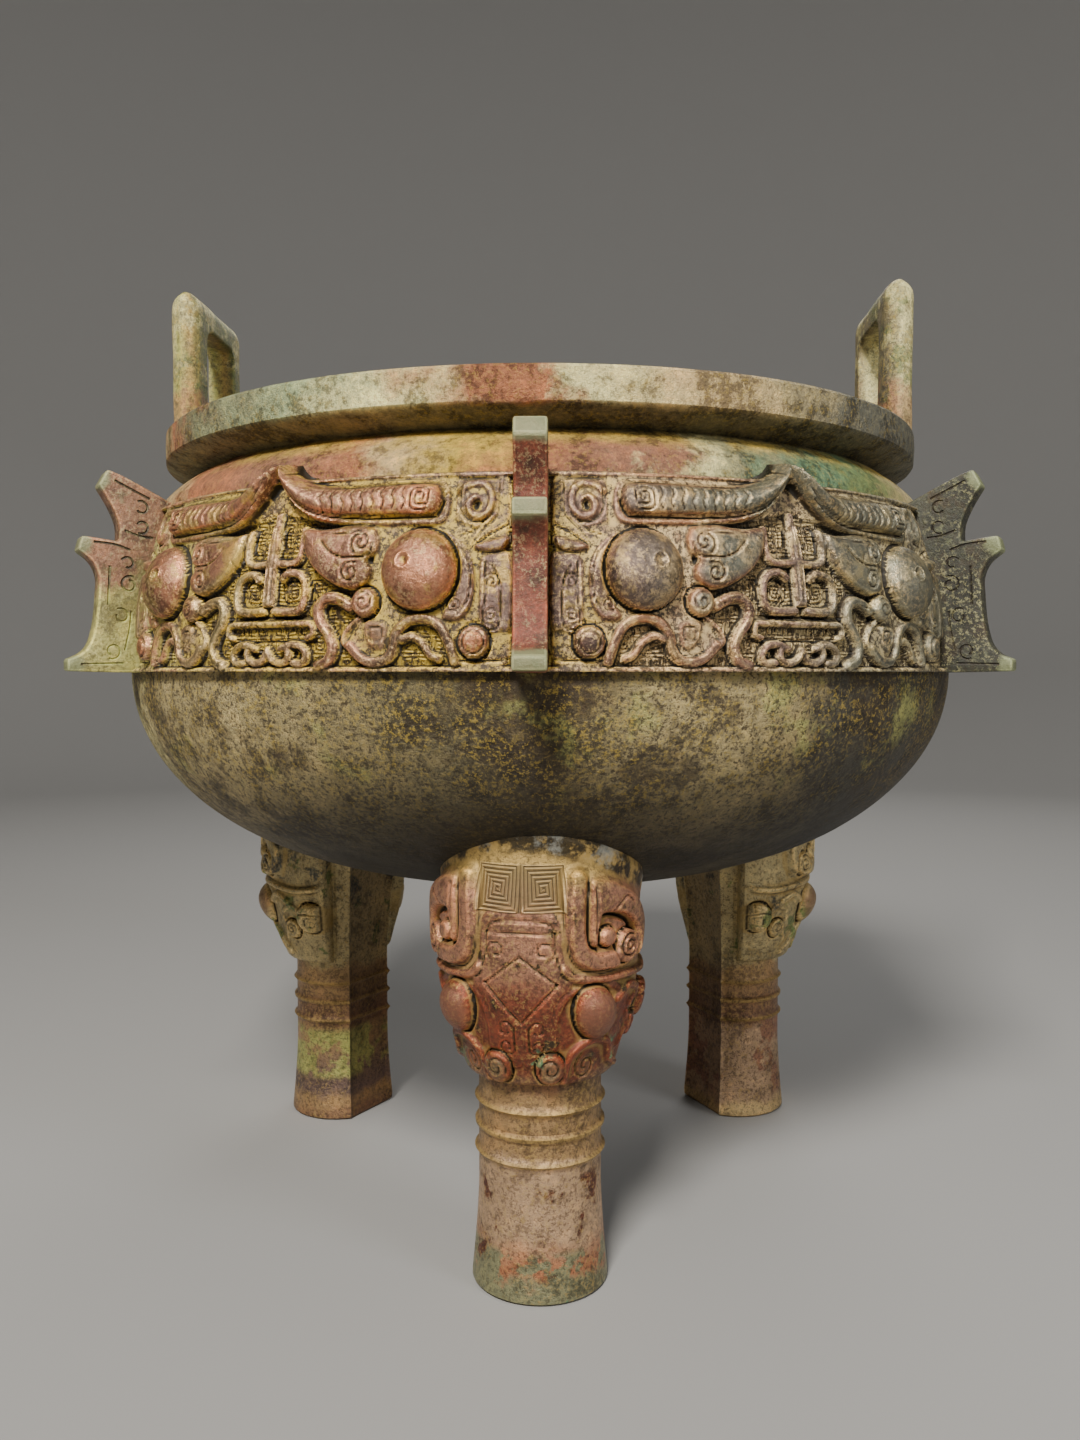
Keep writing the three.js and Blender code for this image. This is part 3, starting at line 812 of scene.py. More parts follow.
# The mould's joints slipped a little: the front flange stands 0.87 degrees aside, and both masks
# beside it are drawn towards it.
front_flange_turn = math.radians(-0.87)
drawn_in = {0: 0.96, 5: 0.95}
held_share, eased_share = 0.93, 0.07
panel.data.transform(Matrix.Rotation(half_panel, 4, "Z"))
panels = [panel]
for number in range(1, 6):
    panels.append(copied(panel, f"band_panel_{number + 1}", number * masks_apart))
for number, piece in enumerate(panels):
    points = positions(piece.data)
    around = np.hypot(points[:, 0], points[:, 1])
    if number in drawn_in:
        azimuth = np.arctan2(points[:, 0], -points[:, 1])
        share = np.abs(azimuth) / masks_apart
        side = 1 if number == 0 else -1
        start = side * front_flange_turn
        held = start + share * masks_apart * drawn_in[number]
        edge = start + held_share * masks_apart * drawn_in[number]
        eased = edge + (share - held_share) / eased_share * (masks_apart - edge)
        azimuth = side * np.where(share < held_share, held, eased)
        points[:, 0], points[:, 1] = around * np.sin(azimuth), -around * np.cos(azimuth)
    wear = unevenness(points, 0.02, 3) * 0.25 + unevenness(points, 0.006, 4) * 0.12
    points[:, :2] *= (1 + wear * mm / around)[:, None]
    points[:, 0] = np.clip(points[:, 0], -panel_limit * mm, panel_limit * mm)
    place(piece.data, points)
    piece.data.materials.append(panel_finish)
    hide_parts("ding")
    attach(piece, "root")

# The six flanges: flat fins cast on edge where two masks meet, each with three prongs that curve
# out and up. Curls are cut in both faces, and the outer edge is flat.
brick = (0.19, 0.048, 0.026, 1)
flange_thickness = 10.0
flange_stretches = [
    [(157, 273), (168, 278.6), (176, 282.4), (181, 284.2)],
    [(184, 278.6), (180, 271.8), (177.4, 265), (177.4, 258.8)],
    [(184, 259.6), (189.9, 260.2)],
    [(191.3, 255.2), (186.6, 251.3), (184.4, 246), (184.6, 240), (185.2, 233)]
    + [(186.2, 227), (188, 221.6), (191, 218.4), (195.4, 216.4)],
    [(195.4, 212.2), (180, 211.8), (166.8, 211.6)],
    [(164.2, 240)],
]
outline = []
for stretch in flange_stretches:
    outline += list(smooth_path(stretch, step=1.6)) if len(stretch) > 2 else stretch
bpy.ops.object.select_all(action="DESELECT")
bpy.ops.mesh.primitive_circle_add(vertices=len(outline), fill_type="NGON")
flange = bpy.context.object
flange.name = "flange_1"
for vertex, (radius, height) in zip(flange.data.vertices, outline):
    vertex.co = (-flange_thickness / 2 * mm, -radius * mm, height * mm)
bpy.ops.object.mode_set(mode="EDIT")
bpy.ops.mesh.select_all(action="SELECT")
bpy.ops.mesh.extrude_region_move(TRANSFORM_OT_translate={"value": (flange_thickness * mm, 0, 0)})
face_outwards()
bevel = flange.modifiers.new("soft_edges", "BEVEL")
bevel.width = 1.0 * mm
bevel.segments = 2
bevel.angle_limit = math.radians(35)
bevel.material = 1


prong_tips = ((0.184, 0.2815, 0.006), (0.1905, 0.2575, 0.0055), (0.195, 0.214, 0.006))


def flange_patina(name, tint, tips, edge):
    """Red and green copper salts over the fin's faces, paler at the tips of its prongs."""
    finish = new_finish(name)
    x, y, up = parts(Wire.node("TexCoord", output=3))
    radius = (x * x + y * y).math("SQRT")
    colour = across(tint, 0.06, 2.0)
    blotch = cloud(75.0, 6.0, 0.7)
    lower_left = (1 - span(up + (blotch - 0.5) * 0.08, 0.232, 0.25)) * (1 - span(x, -0.14, -0.12))
    colour = blended(colour, lime, lower_left * 0.75)
    colour = blended(colour, tips, span(blotch, 0.60, 0.66) * 0.35)
    colour = blended(colour, umber, (1 - span(blotch, 0.40, 0.47)) * 0.55)
    colour, tone, grain, medium = weathered(colour, bone, 0.22, 0.45, 0.6)
    section = Wire.node("CombineXYZ", {}, {0: radius, 1: up})
    for tip_radius, tip_height, reach in prong_tips:
        away = distance(section, (tip_radius, tip_height, 0))
        near = 1 - span(away + (blotch - 0.5) * 0.01, reach * 0.5, reach)
        colour = blended(colour, tips, near * 0.85)
    colour = blended(colour, (2.6, 2.6, 2.3, 1), edge, "MULTIPLY")
    finished(colour, 0.5 + (tone - 0.5) * 0.5, 0.2, grain * 0.5 + medium, 0.7, 0.0008)
    return finish


deep_green = (0.035, 0.037, 0.026, 1)
aged_tip = (0.22, 0.24, 0.12, 1)
rubbed_tip = (0.20, 0.22, 0.12, 1)
tint = [(0.0, rose), (0.07, rust), (0.2, brick), (0.6, brick), (0.8, deep_green)]
flange.data.materials.append(flange_patina("flange_patina", tint, aged_tip, 0.0))
flange.data.materials.append(flange_patina("flange_rubbed_edge", tint, rubbed_tip, 0.38))
# The faces of the cut lines are coloured an even dark, umber to near black.
flange.data.materials.append(flange_patina("flange_line_dirt", [(0, umber), (1, soot_and_shade)], umber, 0.0))
bpy.ops.object.modifier_apply(modifier="soft_edges")


def cut_out(piece, tool):
    """Cuts the tool's form out of a piece, and takes the tool away."""
    cut = piece.modifiers.new("cut", "BOOLEAN")
    cut.object = tool
    cut.operation = "DIFFERENCE"
    bpy.ops.object.select_all(action="DESELECT")
    piece.select_set(True)
    bpy.context.view_layer.objects.active = piece
    bpy.ops.object.modifier_apply(modifier="cut")
    bpy.data.objects.remove(tool)


flange_lines = [
    curl(169.5, 271.2, 2.6, 1.6, 0.75, 60),
    curl(169.5, 264.4, 2.6, 1.6, 0.75, 300, -1),
    [(165.5, 260.6), (170, 261), (175.4, 262.8)],
    [(166.5, 274.6), (172, 277.2), (178.6, 280.4)],
    [(173.5, 255.8), (179, 257.6), (186, 258.2)],
    curl(174.5, 251, 2.4, 1.4, 0.75, 30),
    curl(174, 243.4, 3.2, 1.4, 1.1, 120, -1),
    [(180.6, 250), (181, 243), (181.4, 236)],
    curl(177, 232, 2.8, 1.4, 0.9, 60),
    [(173.4, 234), (174, 228), (175.8, 219.6)],
    curl(180, 219.4, 3.0, 1.4, 1.0, 300, -1),
    [(176.4, 215), (184, 214.8), (191, 214.6)],
]
for side in (-1, 1):
    for line in flange_lines:
        path = smooth_path(line)
        rod = bpy.data.curves.new("line", "CURVE")
        rod.dimensions = "3D"
        rod.bevel_depth = 0.55 * mm
        rod.bevel_resolution = 1
        rod.use_fill_caps = True
        spline = rod.splines.new("POLY")
        spline.points.add(len(path) - 1)
        for point, (radius, height) in zip(spline.points, path):
            point.co = (side * (flange_thickness / 2 + 0.1) * mm, -radius * mm, height * mm, 1)
        cutter = bpy.data.objects.new("line", rod)
        bpy.context.scene.collection.objects.link(cutter)
        bpy.ops.object.select_all(action="DESELECT")
        cutter.select_set(True)
        bpy.context.view_layer.objects.active = cutter
        bpy.ops.object.convert(target="MESH")
        for material in flange.data.materials:
            cutter.data.materials.append(material)
        for face in cutter.data.polygons:
            face.material_index = 2
        cut_out(flange, cutter)
bpy.ops.object.mode_set(mode="EDIT")
bpy.ops.mesh.select_all(action="SELECT")
bpy.ops.mesh.remove_doubles(threshold=0.000004)
bpy.ops.mesh.dissolve_degenerate(threshold=0.000002)
bpy.ops.mesh.quads_convert_to_tris()
bpy.ops.mesh.delete_loose()
bpy.ops.mesh.select_all(action="DESELECT")
bpy.ops.mesh.select_mode(type="EDGE")
bpy.ops.mesh.select_non_manifold()
bpy.ops.mesh.fill_holes(sides=0)
bpy.ops.mesh.select_mode(type="FACE")
bpy.ops.mesh.select_all(action="SELECT")
bpy.ops.mesh.quads_convert_to_tris()
face_outwards()
bpy.ops.object.shade_smooth_by_angle(angle=math.radians(30))
flanges = [flange]
for number in range(1, 6):
    flanges.append(copied(flange, f"flange_{number + 1}", number * masks_apart))
flange.data.transform(Matrix.Rotation(front_flange_turn, 4, "Z"))
for piece in flanges:
    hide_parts("ding")
    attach(piece, "root")

# The two handles: upright loops cast on the lip, flush with its outside, with rounded corners.
# The pair stands a little askew of the legs.
sand = (0.50, 0.335, 0.105, 1)
handle_half_width = 32.0
handle_top = 372.0
handle_inner = 141.0
handle_thickness = 13.0
handle_post = 14.0
handle_sunk = 12
window_sunk = 6
past_handle = 5
handle_turn = math.radians(-3)


def rounded_box(low, high, radius):
    """A box whose four edges along X are rounded."""
    bpy.ops.object.select_all(action="DESELECT")
    middle = [(a + b) / 2 * mm for a, b in zip(low, high)]
    size = [(b - a) * mm for a, b in zip(low, high)]
    bpy.ops.mesh.primitive_cube_add(size=1, location=middle, scale=size)
    box = bpy.context.object
    bpy.ops.object.transform_apply(location=True, rotation=True, scale=True)
    bpy.ops.object.mode_set(mode="EDIT")
    bpy.ops.mesh.select_mode(type="EDGE")
    bpy.ops.object.mode_set(mode="OBJECT")
    for edge in box.data.edges:
        a, b = (box.data.vertices[i].co for i in edge.vertices)
        edge.select = abs(a.x - b.x) > 0.001
    bpy.ops.object.mode_set(mode="EDIT")
    bpy.ops.mesh.bevel(offset=radius * mm, segments=5, affect="EDGES")
    bpy.ops.object.mode_set(mode="OBJECT")
    return box


handle = rounded_box(
    (handle_inner, -handle_half_width, lip_top - handle_sunk),
    (handle_inner + handle_thickness, handle_half_width, handle_top),
    8,
)
handle.name = "handle_right"
post_gap = handle_half_width - handle_post
window = rounded_box(
    (handle_inner - past_handle, -post_gap, lip_top - window_sunk),
    (handle_inner + handle_thickness + past_handle, post_gap, handle_top - handle_post),
    6,
)
cut_out(handle, window)
bevel = handle.modifiers.new("soft_edges", "BEVEL")
bevel.width = 1.8 * mm
bevel.segments = 3
bevel.angle_limit = math.radians(50)
bpy.ops.object.modifier_apply(modifier="soft_edges")
remesh = handle.modifiers.new("cast_skin", "REMESH")
remesh.mode = "VOXEL"
remesh.voxel_size = 1.15 * mm
bpy.ops.object.modifier_apply(modifier="cast_skin")
handle.data.transform(Matrix.Rotation(handle_turn, 4, "Z"))
# Across each handle: the bone toward its outer face is pale patina and a painted highlight.
right_stops = [(0.908, slate), (0.92, khaki), (0.932, bone), (0.95, bone), (0.965, clay)]
left_stops = [(0.047, bone), (0.058, lime), (0.072, sand), (0.084, moss), (0.10, khaki)]
handles = [handle, copied(handle, "handle_left", math.pi)]
for piece, stops in zip(handles, (right_stops, left_stops)):
    points = positions(piece.data)
    normals = np.empty(len(points) * 3)
    piece.data.vertices.foreach_get("normal", normals)
    pits = unevenness(points, 0.0045, 21)
    wear = 0.3 * unevenness(points, 0.014, 20) - 0.9 * np.clip(pits - 0.42, 0, None)
    points += (normals.reshape(-1, 3) * (wear - 0.25)[:, None]) * mm
    place(piece.data, points)
    piece.data.polygons.foreach_set("use_smooth", np.ones(len(piece.data.polygons), bool))
    finish = new_finish(piece.name + "_patina")
    up = parts(Wire.node("TexCoord", output=3))[2]
    patches = cloud(60.0, 6.0, 0.7)
    green_film = span(cloud(36.0, 6.0, 0.7), 0.52, 0.58)
    colour = across(stops, 0.025, 6.0)
    colour = blended(colour, moss, green_film * 0.75)
    colour = blended(colour, bone, span(patches + (up - 0.34) * 3, 0.55, 0.62) * 0.75)
    foot = 1 - span(up + (patches - 0.5) * 0.12, 0.318, 0.334)
    colour = blended(colour, salmon, foot * 0.6)
    colour = blended(colour, olive, (1 - span(patches, 0.38, 0.47)) * 0.75)
    colour, tone, grain, medium = weathered(colour, straw, 0.45, 0.5, 0.65)
    finished(colour, 0.52 + (tone - 0.5) * 0.5, 0.15, grain * 0.5 + medium, 0.8, 0.001)
    piece.data.materials.append(finish)
    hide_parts("ding")
    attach(piece, "root")

# The three legs, cast solid with the bowl: a shaft with a splayed foot and three thin rings, and on
# its round front a swollen beast's mask with hooked horns, round eyes and squared spirals on its
# brow. A bead runs up both edges of the flat back. The legs stand and look a little askew.
steel = (0.42, 0.44, 0.40, 1)
taupe = (0.50, 0.33, 0.20, 1)
leather = (0.36, 0.225, 0.105, 1)
leg_circle = 109.5
leg_wrap = math.radians(140)
mask_wrap = math.radians(118)
leg_fine = math.radians(98)
shaft_radius = 21.4
ring_heights = (46.8, 55.8, 64.6)
ring_proud = 1.45
ring_half = 1.35
sunk_in_belly = 2.5
brow_spiral = (7.6, 142.4)
muzzle_height = 75.0
mask_chart = 34.0
leg_stands = [("leg_front", 0, -11), ("leg_back_right", 119.2, -4), ("leg_back_left", 242.6, -4)]
mask_profile = [(75, 25.6), (84, 28.2), (92, 30.8), (104, 33.4), (120, 34.5), (138, 34.5), (150, 33)]
mask_profile += [(164, 31)]
corner_profile = [(75, shaft_radius), (100, 23), (120, 26), (135, 29), (150, 33), (164, 34)]


def belly_height(radius):
    """Height of the belly's outside at a distance from the vessel's axis."""
    inner = np.minimum(radius, belly_radius) / belly_radius
    drop = np.clip(1 - inner**belly_round, 0, 1) ** (1 / belly_power)
    return band_bottom - drop * (band_bottom - belly_bottom)


def carve_brow(carving):
    """The forehead's frame, the diamond, and the fine double curls of the nose."""
    brow = [(0, 135), (9.5, 134.6), (13, 132.4), (14, 128), (14, 121), (17, 112), (12, 100)]
    brow += [(12, 86), (0, 84), (-4, 110)]
    carving.patch(brow, 0.9, 1.0)
    frame = [(-3, 132.4), (6, 132.2), (10, 130.6), (11.4, 127), (11.6, 121), (13.6, 114.6)]
    carving.groove(frame + [(15.4, 113)], 0.34, 0.9)
    carving.groove([(-3, 128.6), (11.6, 128.2)], 0.3, 0.8)
    carving.groove(curl(7.7, 122.4, 3.7, 1.2, 0.95, -60), 0.3, 0.8)
    carving.groove([(0, 120.6), (12, 111.4)], 0.32, 1.0)
    carving.groove([(12, 111.4), (0, 98.4)], 0.32, 1.0)
    carving.groove(curl(5.6, 96.4, 2.7, 1.6, 0.9, 200, -1), 0.3, 0.8)
    carving.groove(curl(5.6, 90, 3.3, 1.0, 1.2, 160), 0.3, 0.8)
    carving.groove([(2.8, 97), (2.5, 91)], 0.3, 0.7)
    socket = [(10.4, 86), (10.5, 94), (11.4, 103), (14.4, 108), (19, 110), (24, 110.4)]
    carving.groove(socket, 0.34, 0.9)


def carve_horns(carving):
    """The hooked horn, the broad leaf inside it and the spiral at its end."""
    plate = [(15, 147.6), (24, 148.4), (34, 144.6), (43, 139.6), (48.6, 133), (49, 124.6)]
    plate += [(46.4, 117), (40, 114.8), (30, 115), (20, 114.6), (15.4, 121), (14.6, 134)]
    carving.patch(plate, 1.2, 1.4)
    hook = [(18.4, 145.6), (17.5, 138), (17.6, 128), (19.4, 121.6), (24, 118.8), (31, 118.4)]
    carving.strip(hook, 2.9, 3.8, 1.5)
    carving.groove([(15.8, 146), (15.2, 134), (15.6, 122), (20, 115.8), (30, 115.2)], 0.5, 0.8)
    leaf = [(22, 144.6), (28, 145.2), (36, 142), (43.6, 136.4), (47.8, 129), (46.4, 121)]
    leaf += [(43, 117.6), (42.4, 126), (38, 131), (33, 133.2), (27.6, 133.6), (25, 130), (24.6, 124.4)]
    leaf += [(21.8, 124.6), (20.9, 134)]
    carving.patch(leaf, 3.3, 1.6, 0.7, 5)
    carving.groove([(21.8, 144.4), (21.2, 134), (21.6, 125), (24.4, 122.4)], 0.4, 1.5)
    carving.groove([(24, 143.4), (23.6, 134), (23.8, 128)], 0.3, 0.7)
    carving.groove([(26.6, 133.4), (32, 132.8), (38, 130.4), (41.8, 126)], 0.9, 2.4)
    carving.dome(28.4, 126.2, 3.3, 3.8, 1.6, 2.6)
    carving.dome(37.6, 121.8, 5.6, 3.9, 1.4, 3.6)
    carving.groove(curl(37.6, 121.8, 4.2, 0.6, 1.8, 60), 0.45, 1.3)
    carving.groove([(30, 134.6), (35, 138.8), (38.4, 137)], 0.32, 0.8)


def carve_cheek(carving):
    """The brow ridge, the eye in its lids, the nostril, and the spirals of cheek and ear."""
    ridge = [(14, 116.6), (18, 113.4), (26, 112.2), (36, 112), (44, 111.6), (56, 110.6)]
    carving.strip(ridge + [(66, 112), (74, 116)], 1.3, 2.2, 1.0)
    lid = [(11, 86), (11.6, 99), (15.4, 107.4), (24, 110), (34, 109), (40, 104)]
    carving.strip(lid, 1.2, 0.9, 0.9)
    lean = carving.x - 26 + (carving.y - 101) * 0.16
    out = np.hypot(lean / 8.1, (carving.y - 101) / 9.6)
    rise = np.clip(1 - out**1.9, 0, 1) ** 0.58
    carving.lift = np.where(out < 1, np.maximum(carving.lift, 6.4 * rise), carving.lift)
    carving.lift -= 0.9 * np.exp(-(((out - 1.05) / 0.06) ** 2))
    carving.strip([(36, 104), (42, 107.6), (50, 105)], 1.3, 1.8, 1.0)
    carving.dome(10.5, 82.2, 5.8, 3.2, 0.4, 3.0)
    carving.groove(curl(10.5, 82.2, 4.0, 1.2, 1.1, 200, -1), 0.42, 0.9)
    arch = [(16.4, 77), (17.4, 84.6), (21.6, 89.6), (28, 91.4), (34, 89.2), (38, 83), (44, 79.6)]
    carving.strip(arch, 1.4, 1.9, 0.9)
    carving.groove(curl(26, 82, 5.2, 1.0, 1.4, 120), 0.42, 0.9)
    carving.dome(63, 98, 7.2, 4.4, 0.4, 3.0)
    carving.groove([(56, 99.6), (63, 100.4), (69, 98)], 0.4, 1.0)
    carving.groove(curl(63, 96, 3.2, 1.0, 1.2), 0.4, 0.8)
    carving.dome(51, 92, 4.6, 2.0, 0.2, 3.0)
    carving.groove(curl(51, 92, 3, 0.6, 1.2), 0.42, 0.8)
    carving.strip([(46, 100), (52, 103), (56, 100)], 1.2, 1.2, 0.8)
    carving.strip([(44, 86), (47, 92), (45, 97)], 1.0, 1.0, 0.8)


fine_columns, side_columns = 176, 18
back_stops = np.array([0, 0.025, 0.055, 0.09, 0.5, 0.91, 0.945, 0.975, 1])
shaft_rows, muzzle_rows, mask_rows = 72, 5, 138
angles = np.concatenate([
    np.linspace(-leg_wrap, -leg_fine, side_columns, endpoint=False),
    np.linspace(-leg_fine, leg_fine, fine_columns, endpoint=False),
    np.linspace(leg_fine, leg_wrap, side_columns + 1),
])
last_front = len(angles) - 1
leg_columns = last_front + len(back_stops) - 1
leg_rows = shaft_rows + muzzle_rows + mask_rows
leg, column, row = new_grid("leg_front", leg_columns, leg_rows)
on_back = back_stops[np.clip(column - last_front, 0, None)]
angle = angles[np.minimum(column, last_front)]


def leg_radius(height, angle):
    """Radius of the mask's ground on a leg's front, and of the plain strip behind the mask."""
    strip = np.interp(height, *zip(*corner_profile))
    strip += 0.7 * np.exp(-(((np.abs(angle) - math.radians(126.5)) / 0.035) ** 2))
    behind = np.clip((np.abs(angle) - mask_wrap) / math.radians(3.5), 0, 1)
    behind = behind * behind * (3 - 2 * behind)
    return np.interp(height, *zip(*mask_profile)) * (1 - behind) + strip * behind


# Each column of the leg ends just inside the belly. Where it ends depends on its radius there, and
# the radius on where it ends, so both are found in a few rounds.
top = np.full(len(row), 156.0)
for _ in range(6):
    reach = leg_radius(top, angle)
    spot = np.hypot(reach * np.sin(angle), reach * np.cos(angle) + leg_circle)
    top = belly_height(spot + 1.5) + sunk_in_belly
up_mask = np.maximum(row - shaft_rows - muzzle_rows, 0) / mask_rows
shaft_height = np.clip(row / shaft_rows, 0, 1) * muzzle_height
height = np.where(row <= shaft_rows, shaft_height, muzzle_height + (top - muzzle_height) * up_mask)
shaft = shaft_radius + 2.6 * np.clip(1 - height / 36, 0, 1) ** 1.5
for ring in ring_heights:
    shaft += ring_proud * np.clip(1 - ((height - ring) / ring_half) ** 2, 0, 1)
shaft -= 1.6 * (1 - np.sqrt(np.clip(1 - (1 - np.clip(height / 1.6, 0, 1)) ** 2, 0, 1)))
along = angle * mask_chart
carving = Carving(np.abs(along), height, 0)
carve_brow(carving)
carve_horns(carving)
carve_cheek(carving)
below_belly = top - sunk_in_belly - height
on_mask = np.clip((height - muzzle_height) / 1.5, 0, 1) * (row >= shaft_rows + muzzle_rows)
fade = np.clip(below_belly / 5, 0, 1) * np.clip((math.radians(115) - np.abs(angle)) / 0.12, 0, 1)
lift = carving.lift * on_mask * fade
muzzle_edge = 2.4 * np.clip((leg_radius(76, angle) - shaft_radius) / 5, 0, 1)
from_edge = np.clip((height - muzzle_height) / 2.4, 0, 1)
rounding = muzzle_edge * (1 - np.sqrt(np.clip(1 - (1 - from_edge) ** 2, 0, 1)))
flare = 1.8 * np.exp(-np.clip(below_belly, 0, None) / 4)
swollen = leg_radius(height, angle) - rounding + lift + flare
in_muzzle = np.clip((row - shaft_rows) / muzzle_rows, 0, 1)
muzzle = shaft + (leg_radius(muzzle_height, angle) - muzzle_edge - shaft) * in_muzzle
out = np.where(row <= shaft_rows, shaft, np.where(row < shaft_rows + muzzle_rows, muzzle, swollen))
bead = 0.6 * np.exp(-(((np.abs(angle) - leg_wrap) / 0.03) ** 2))
out += bead * np.clip(height / 4, 0, 1)
x, y = out * np.sin(angle) * (1 - 2 * on_back), -out * np.cos(angle)
hollow_back = np.clip((0.5 - np.abs(on_back - 0.5) - 0.02) / 0.05, 0, 1)
y -= 1.1 * hollow_back * np.clip(height / 4, 0, 1)
place(leg.data, np.stack([x, y - leg_circle, height], 1) * mm)
record_carving(leg.data, lift, column, row)
record(leg.data, "chart", [along, height, np.where(on_back > 0, -20.0, below_belly)])
bpy.ops.object.mode_set(mode="EDIT")
bpy.ops.mesh.select_all(action="SELECT")
bpy.ops.mesh.remove_doubles(threshold=0.000002)
bpy.ops.mesh.select_all(action="DESELECT")
bpy.ops.mesh.select_mode(type="EDGE")
bpy.ops.mesh.select_non_manifold()
bpy.ops.mesh.fill_holes(sides=0)
bpy.ops.mesh.select_mode(type="FACE")
bpy.ops.mesh.select_all(action="DESELECT")
bpy.ops.object.mode_set(mode="OBJECT")
for face in leg.data.polygons:
    face.select = len(face.vertices) > 100 and face.center.z > 0.1
bpy.ops.object.mode_set(mode="EDIT")
bpy.ops.mesh.poke()
face_outwards()
leg_top = float(belly_height(leg_circle)) + sunk_in_belly
leg.data.vertices[-1].co = (0, -leg_circle * mm, leg_top * mm)
bpy.ops.object.shade_smooth_by_angle(angle=math.radians(50))

# The eye, the nostril and the cheek's spiral have tints of their own: place, reach, colour, cover.
mask_spots = [((26, 101), 8.5, rose, 0.5), ((10.5, 82.2), 5.0, jade, 0.22)]
mask_spots += [((26, 82), 6.0, olive, 0.25)]


rubbed_leg_and_highlight = (2.1, 1.9, 1.6, 1)
shaded_back = (0.62, 0.56, 0.52, 1)


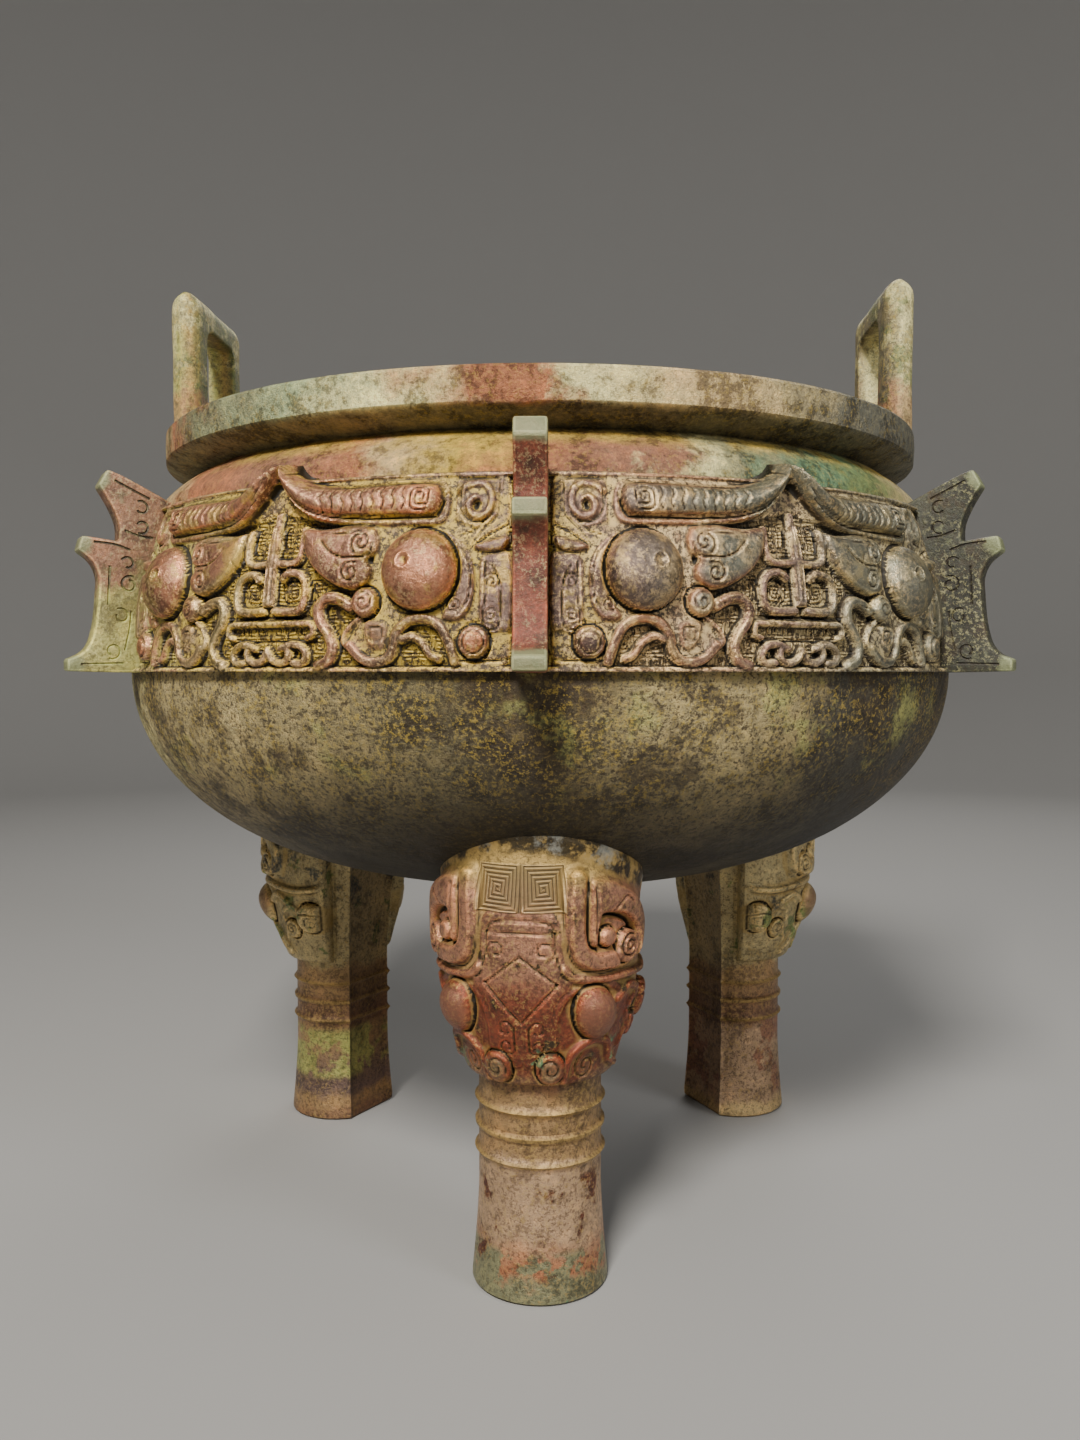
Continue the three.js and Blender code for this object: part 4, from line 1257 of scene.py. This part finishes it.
def leg_patina(name, shades, blooms):
    """A leg's finish, in bands from its foot up, with blooms of other colours between heights."""
    finish = new_finish(name)
    sharp, lift, broad_recess = parts(shown("carved"))
    along, up, to_belly = parts(shown("chart"))
    wander = cloud(42.0, 5.0, 0.7)
    level = up + (wander - 0.5) * 22
    colour = shades[0][1]
    for (low, _), (high, shade) in zip(shades[:-1], shades[1:]):
        colour = blended(colour, shade, span(level, low, high))
    for shade, size, cover, low, high in blooms:
        bloom = span(cloud(size, 5.0, 0.65), 1 - cover, 1.05 - cover)
        within = span(up, low, low + 4) * (1 - span(up, high, high + 4))
        colour = blended(colour, shade, bloom * within)
    ring_top = 0
    for ring in ring_heights:
        ring_top = ring_top + (1 - span((up - ring).math("ABSOLUTE"), 0.5, 1.3))
    colour = blended(colour, sand, ring_top * 0.6)
    colour, tone, grain, medium = weathered(colour, sand, 0.5, 0.6, 0.6)
    side = along.math("ABSOLUTE")
    square_x, square_y = side - brow_spiral[0], up - brow_spiral[1]
    ring = square_x.math("ABSOLUTE").math("MAXIMUM", square_y.math("ABSOLUTE") * 0.9)
    turn = square_y.math("ARCTAN2", square_x) * (1 / (2 * math.pi))
    lines = (ring * 0.8 + turn).math("FRACT").math("SUBTRACT", 0.5).math("ABSOLUTE") * 2
    on_brow = (1 - span(side, 14.2, 15.0)) * span(up, 134.6, 135.4) * (1 - span(up, 149.8, 150.6))
    # The brow's block of squared spirals is paler: its own pale colour and a painted highlight.
    colour = blended(colour, cream, on_brow * (0.35 + medium * 0.4))
    colour = blended(colour, umber, (1 - span(lines, 0.08, 0.42)) * on_brow * 0.8)
    chart = Wire.node("CombineXYZ", {}, {0: side, 1: up})
    for (spot_x, spot_y), reach, shade, cover in mask_spots:
        away = distance(chart, (spot_x, spot_y, 0))
        near = 1 - span(away + (medium - 0.5) * 3, reach - 2.5, reach)
        colour = blended(colour, shade, near * cover)
    streaks = span(cloud(110.0, 5.0, 0.7), 0.42, 0.56)
    collar_colour = blended(sand, soot_and_shade, streaks)
    worn = span(cloud(75.0, 5.0, 0.7), 0.54, 0.66)
    collar_colour = blended(collar_colour, steel, worn * 0.6)
    collar = (1 - span(to_belly + (wander - 0.5) * 9, 3.5, 7)) * span(to_belly, -10, -9)
    colour = blended(colour, collar_colour, collar * 0.9)
    dust = span(broad_recess + (medium - 0.5) * 0.8, 0.25, 0.7)
    colour = blended(colour, sand, dust * 0.5)
    # Dark dirt and painted shade in the creases: umber in narrow ones, near black in deep ones.
    colour = blended(colour, umber, span(sharp, 0.14, 0.34) * 0.9)
    colour = blended(colour, soot_and_shade, span(sharp + broad_recess * 0.3, 0.5, 1.0) * 0.9)
    # Worn metal and a painted highlight on convex edges: they are made paler.
    rubbed_and_highlit = span(sharp * -1.0, 0.03, 0.16)
    colour = blended(colour, rubbed_leg_and_highlight, rubbed_and_highlit * 0.6, "MULTIPLY")
    back = 1 - span(to_belly, -19.5, -12)
    colour = blended(colour, shaded_back, back, "MULTIPLY")
    bump = grain * 0.5 + medium * 0.8 + lines * on_brow * 1.5
    finished(colour, 0.42 - rubbed_and_highlit * 0.12 + (tone - 0.5) * 0.6, 0.5, bump, 0.8, 0.0008)
    return finish


front_shades = [(5, sage), (10, salmon), (22, taupe), (44, taupe), (48, leather), (70, leather)]
front_shades += [(75, rust), (82, brick), (106, brick), (116, rose), (140, rose), (149, sand)]
front_blooms = [(sage, 70, 0.52, -8, 15), (jade, 95, 0.40, -8, 10), (brick, 60, 0.44, 8, 40)]
front_blooms += [(jade, 90, 0.40, 76, 88), (umber, 120, 0.40, 80, 134)]
right_shades = [(3, cream), (7, taupe), (40, taupe), (46, rust), (70, leather), (74, clay)]
right_blooms = [(rose, 50, 0.5, 8, 44), (moss, 70, 0.42, 76, 112), (slate, 60, 0.42, 100, 150)]
left_shades = [(0, rust), (8, leather), (14, plum), (40, leather), (46, rust), (70, leather)]
left_shades += [(74, clay)]
left_blooms = [(lime, 30, 0.54, 18, 40), (moss, 70, 0.42, 76, 125), (slate, 60, 0.44, 100, 150)]
leg_finishes = [
    leg_patina("front_leg_patina", front_shades, front_blooms),
    leg_patina("right_leg_patina", right_shades, right_blooms),
    leg_patina("left_leg_patina", left_shades, left_blooms),
]
legs = [leg] + [copied(leg, name, 0) for name, _, _ in leg_stands[1:]]
own_axis = Matrix.Translation((0, -leg_circle * mm, 0))
for piece, finish, (_, around, aside) in zip(legs, leg_finishes, leg_stands):
    stand = own_axis @ Matrix.Rotation(math.radians(aside), 4, "Z") @ own_axis.inverted()
    piece.data.transform(Matrix.Rotation(math.radians(around), 4, "Z") @ stand)
    piece.data.materials.append(finish)
    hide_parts("ding")
    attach(piece, "root")
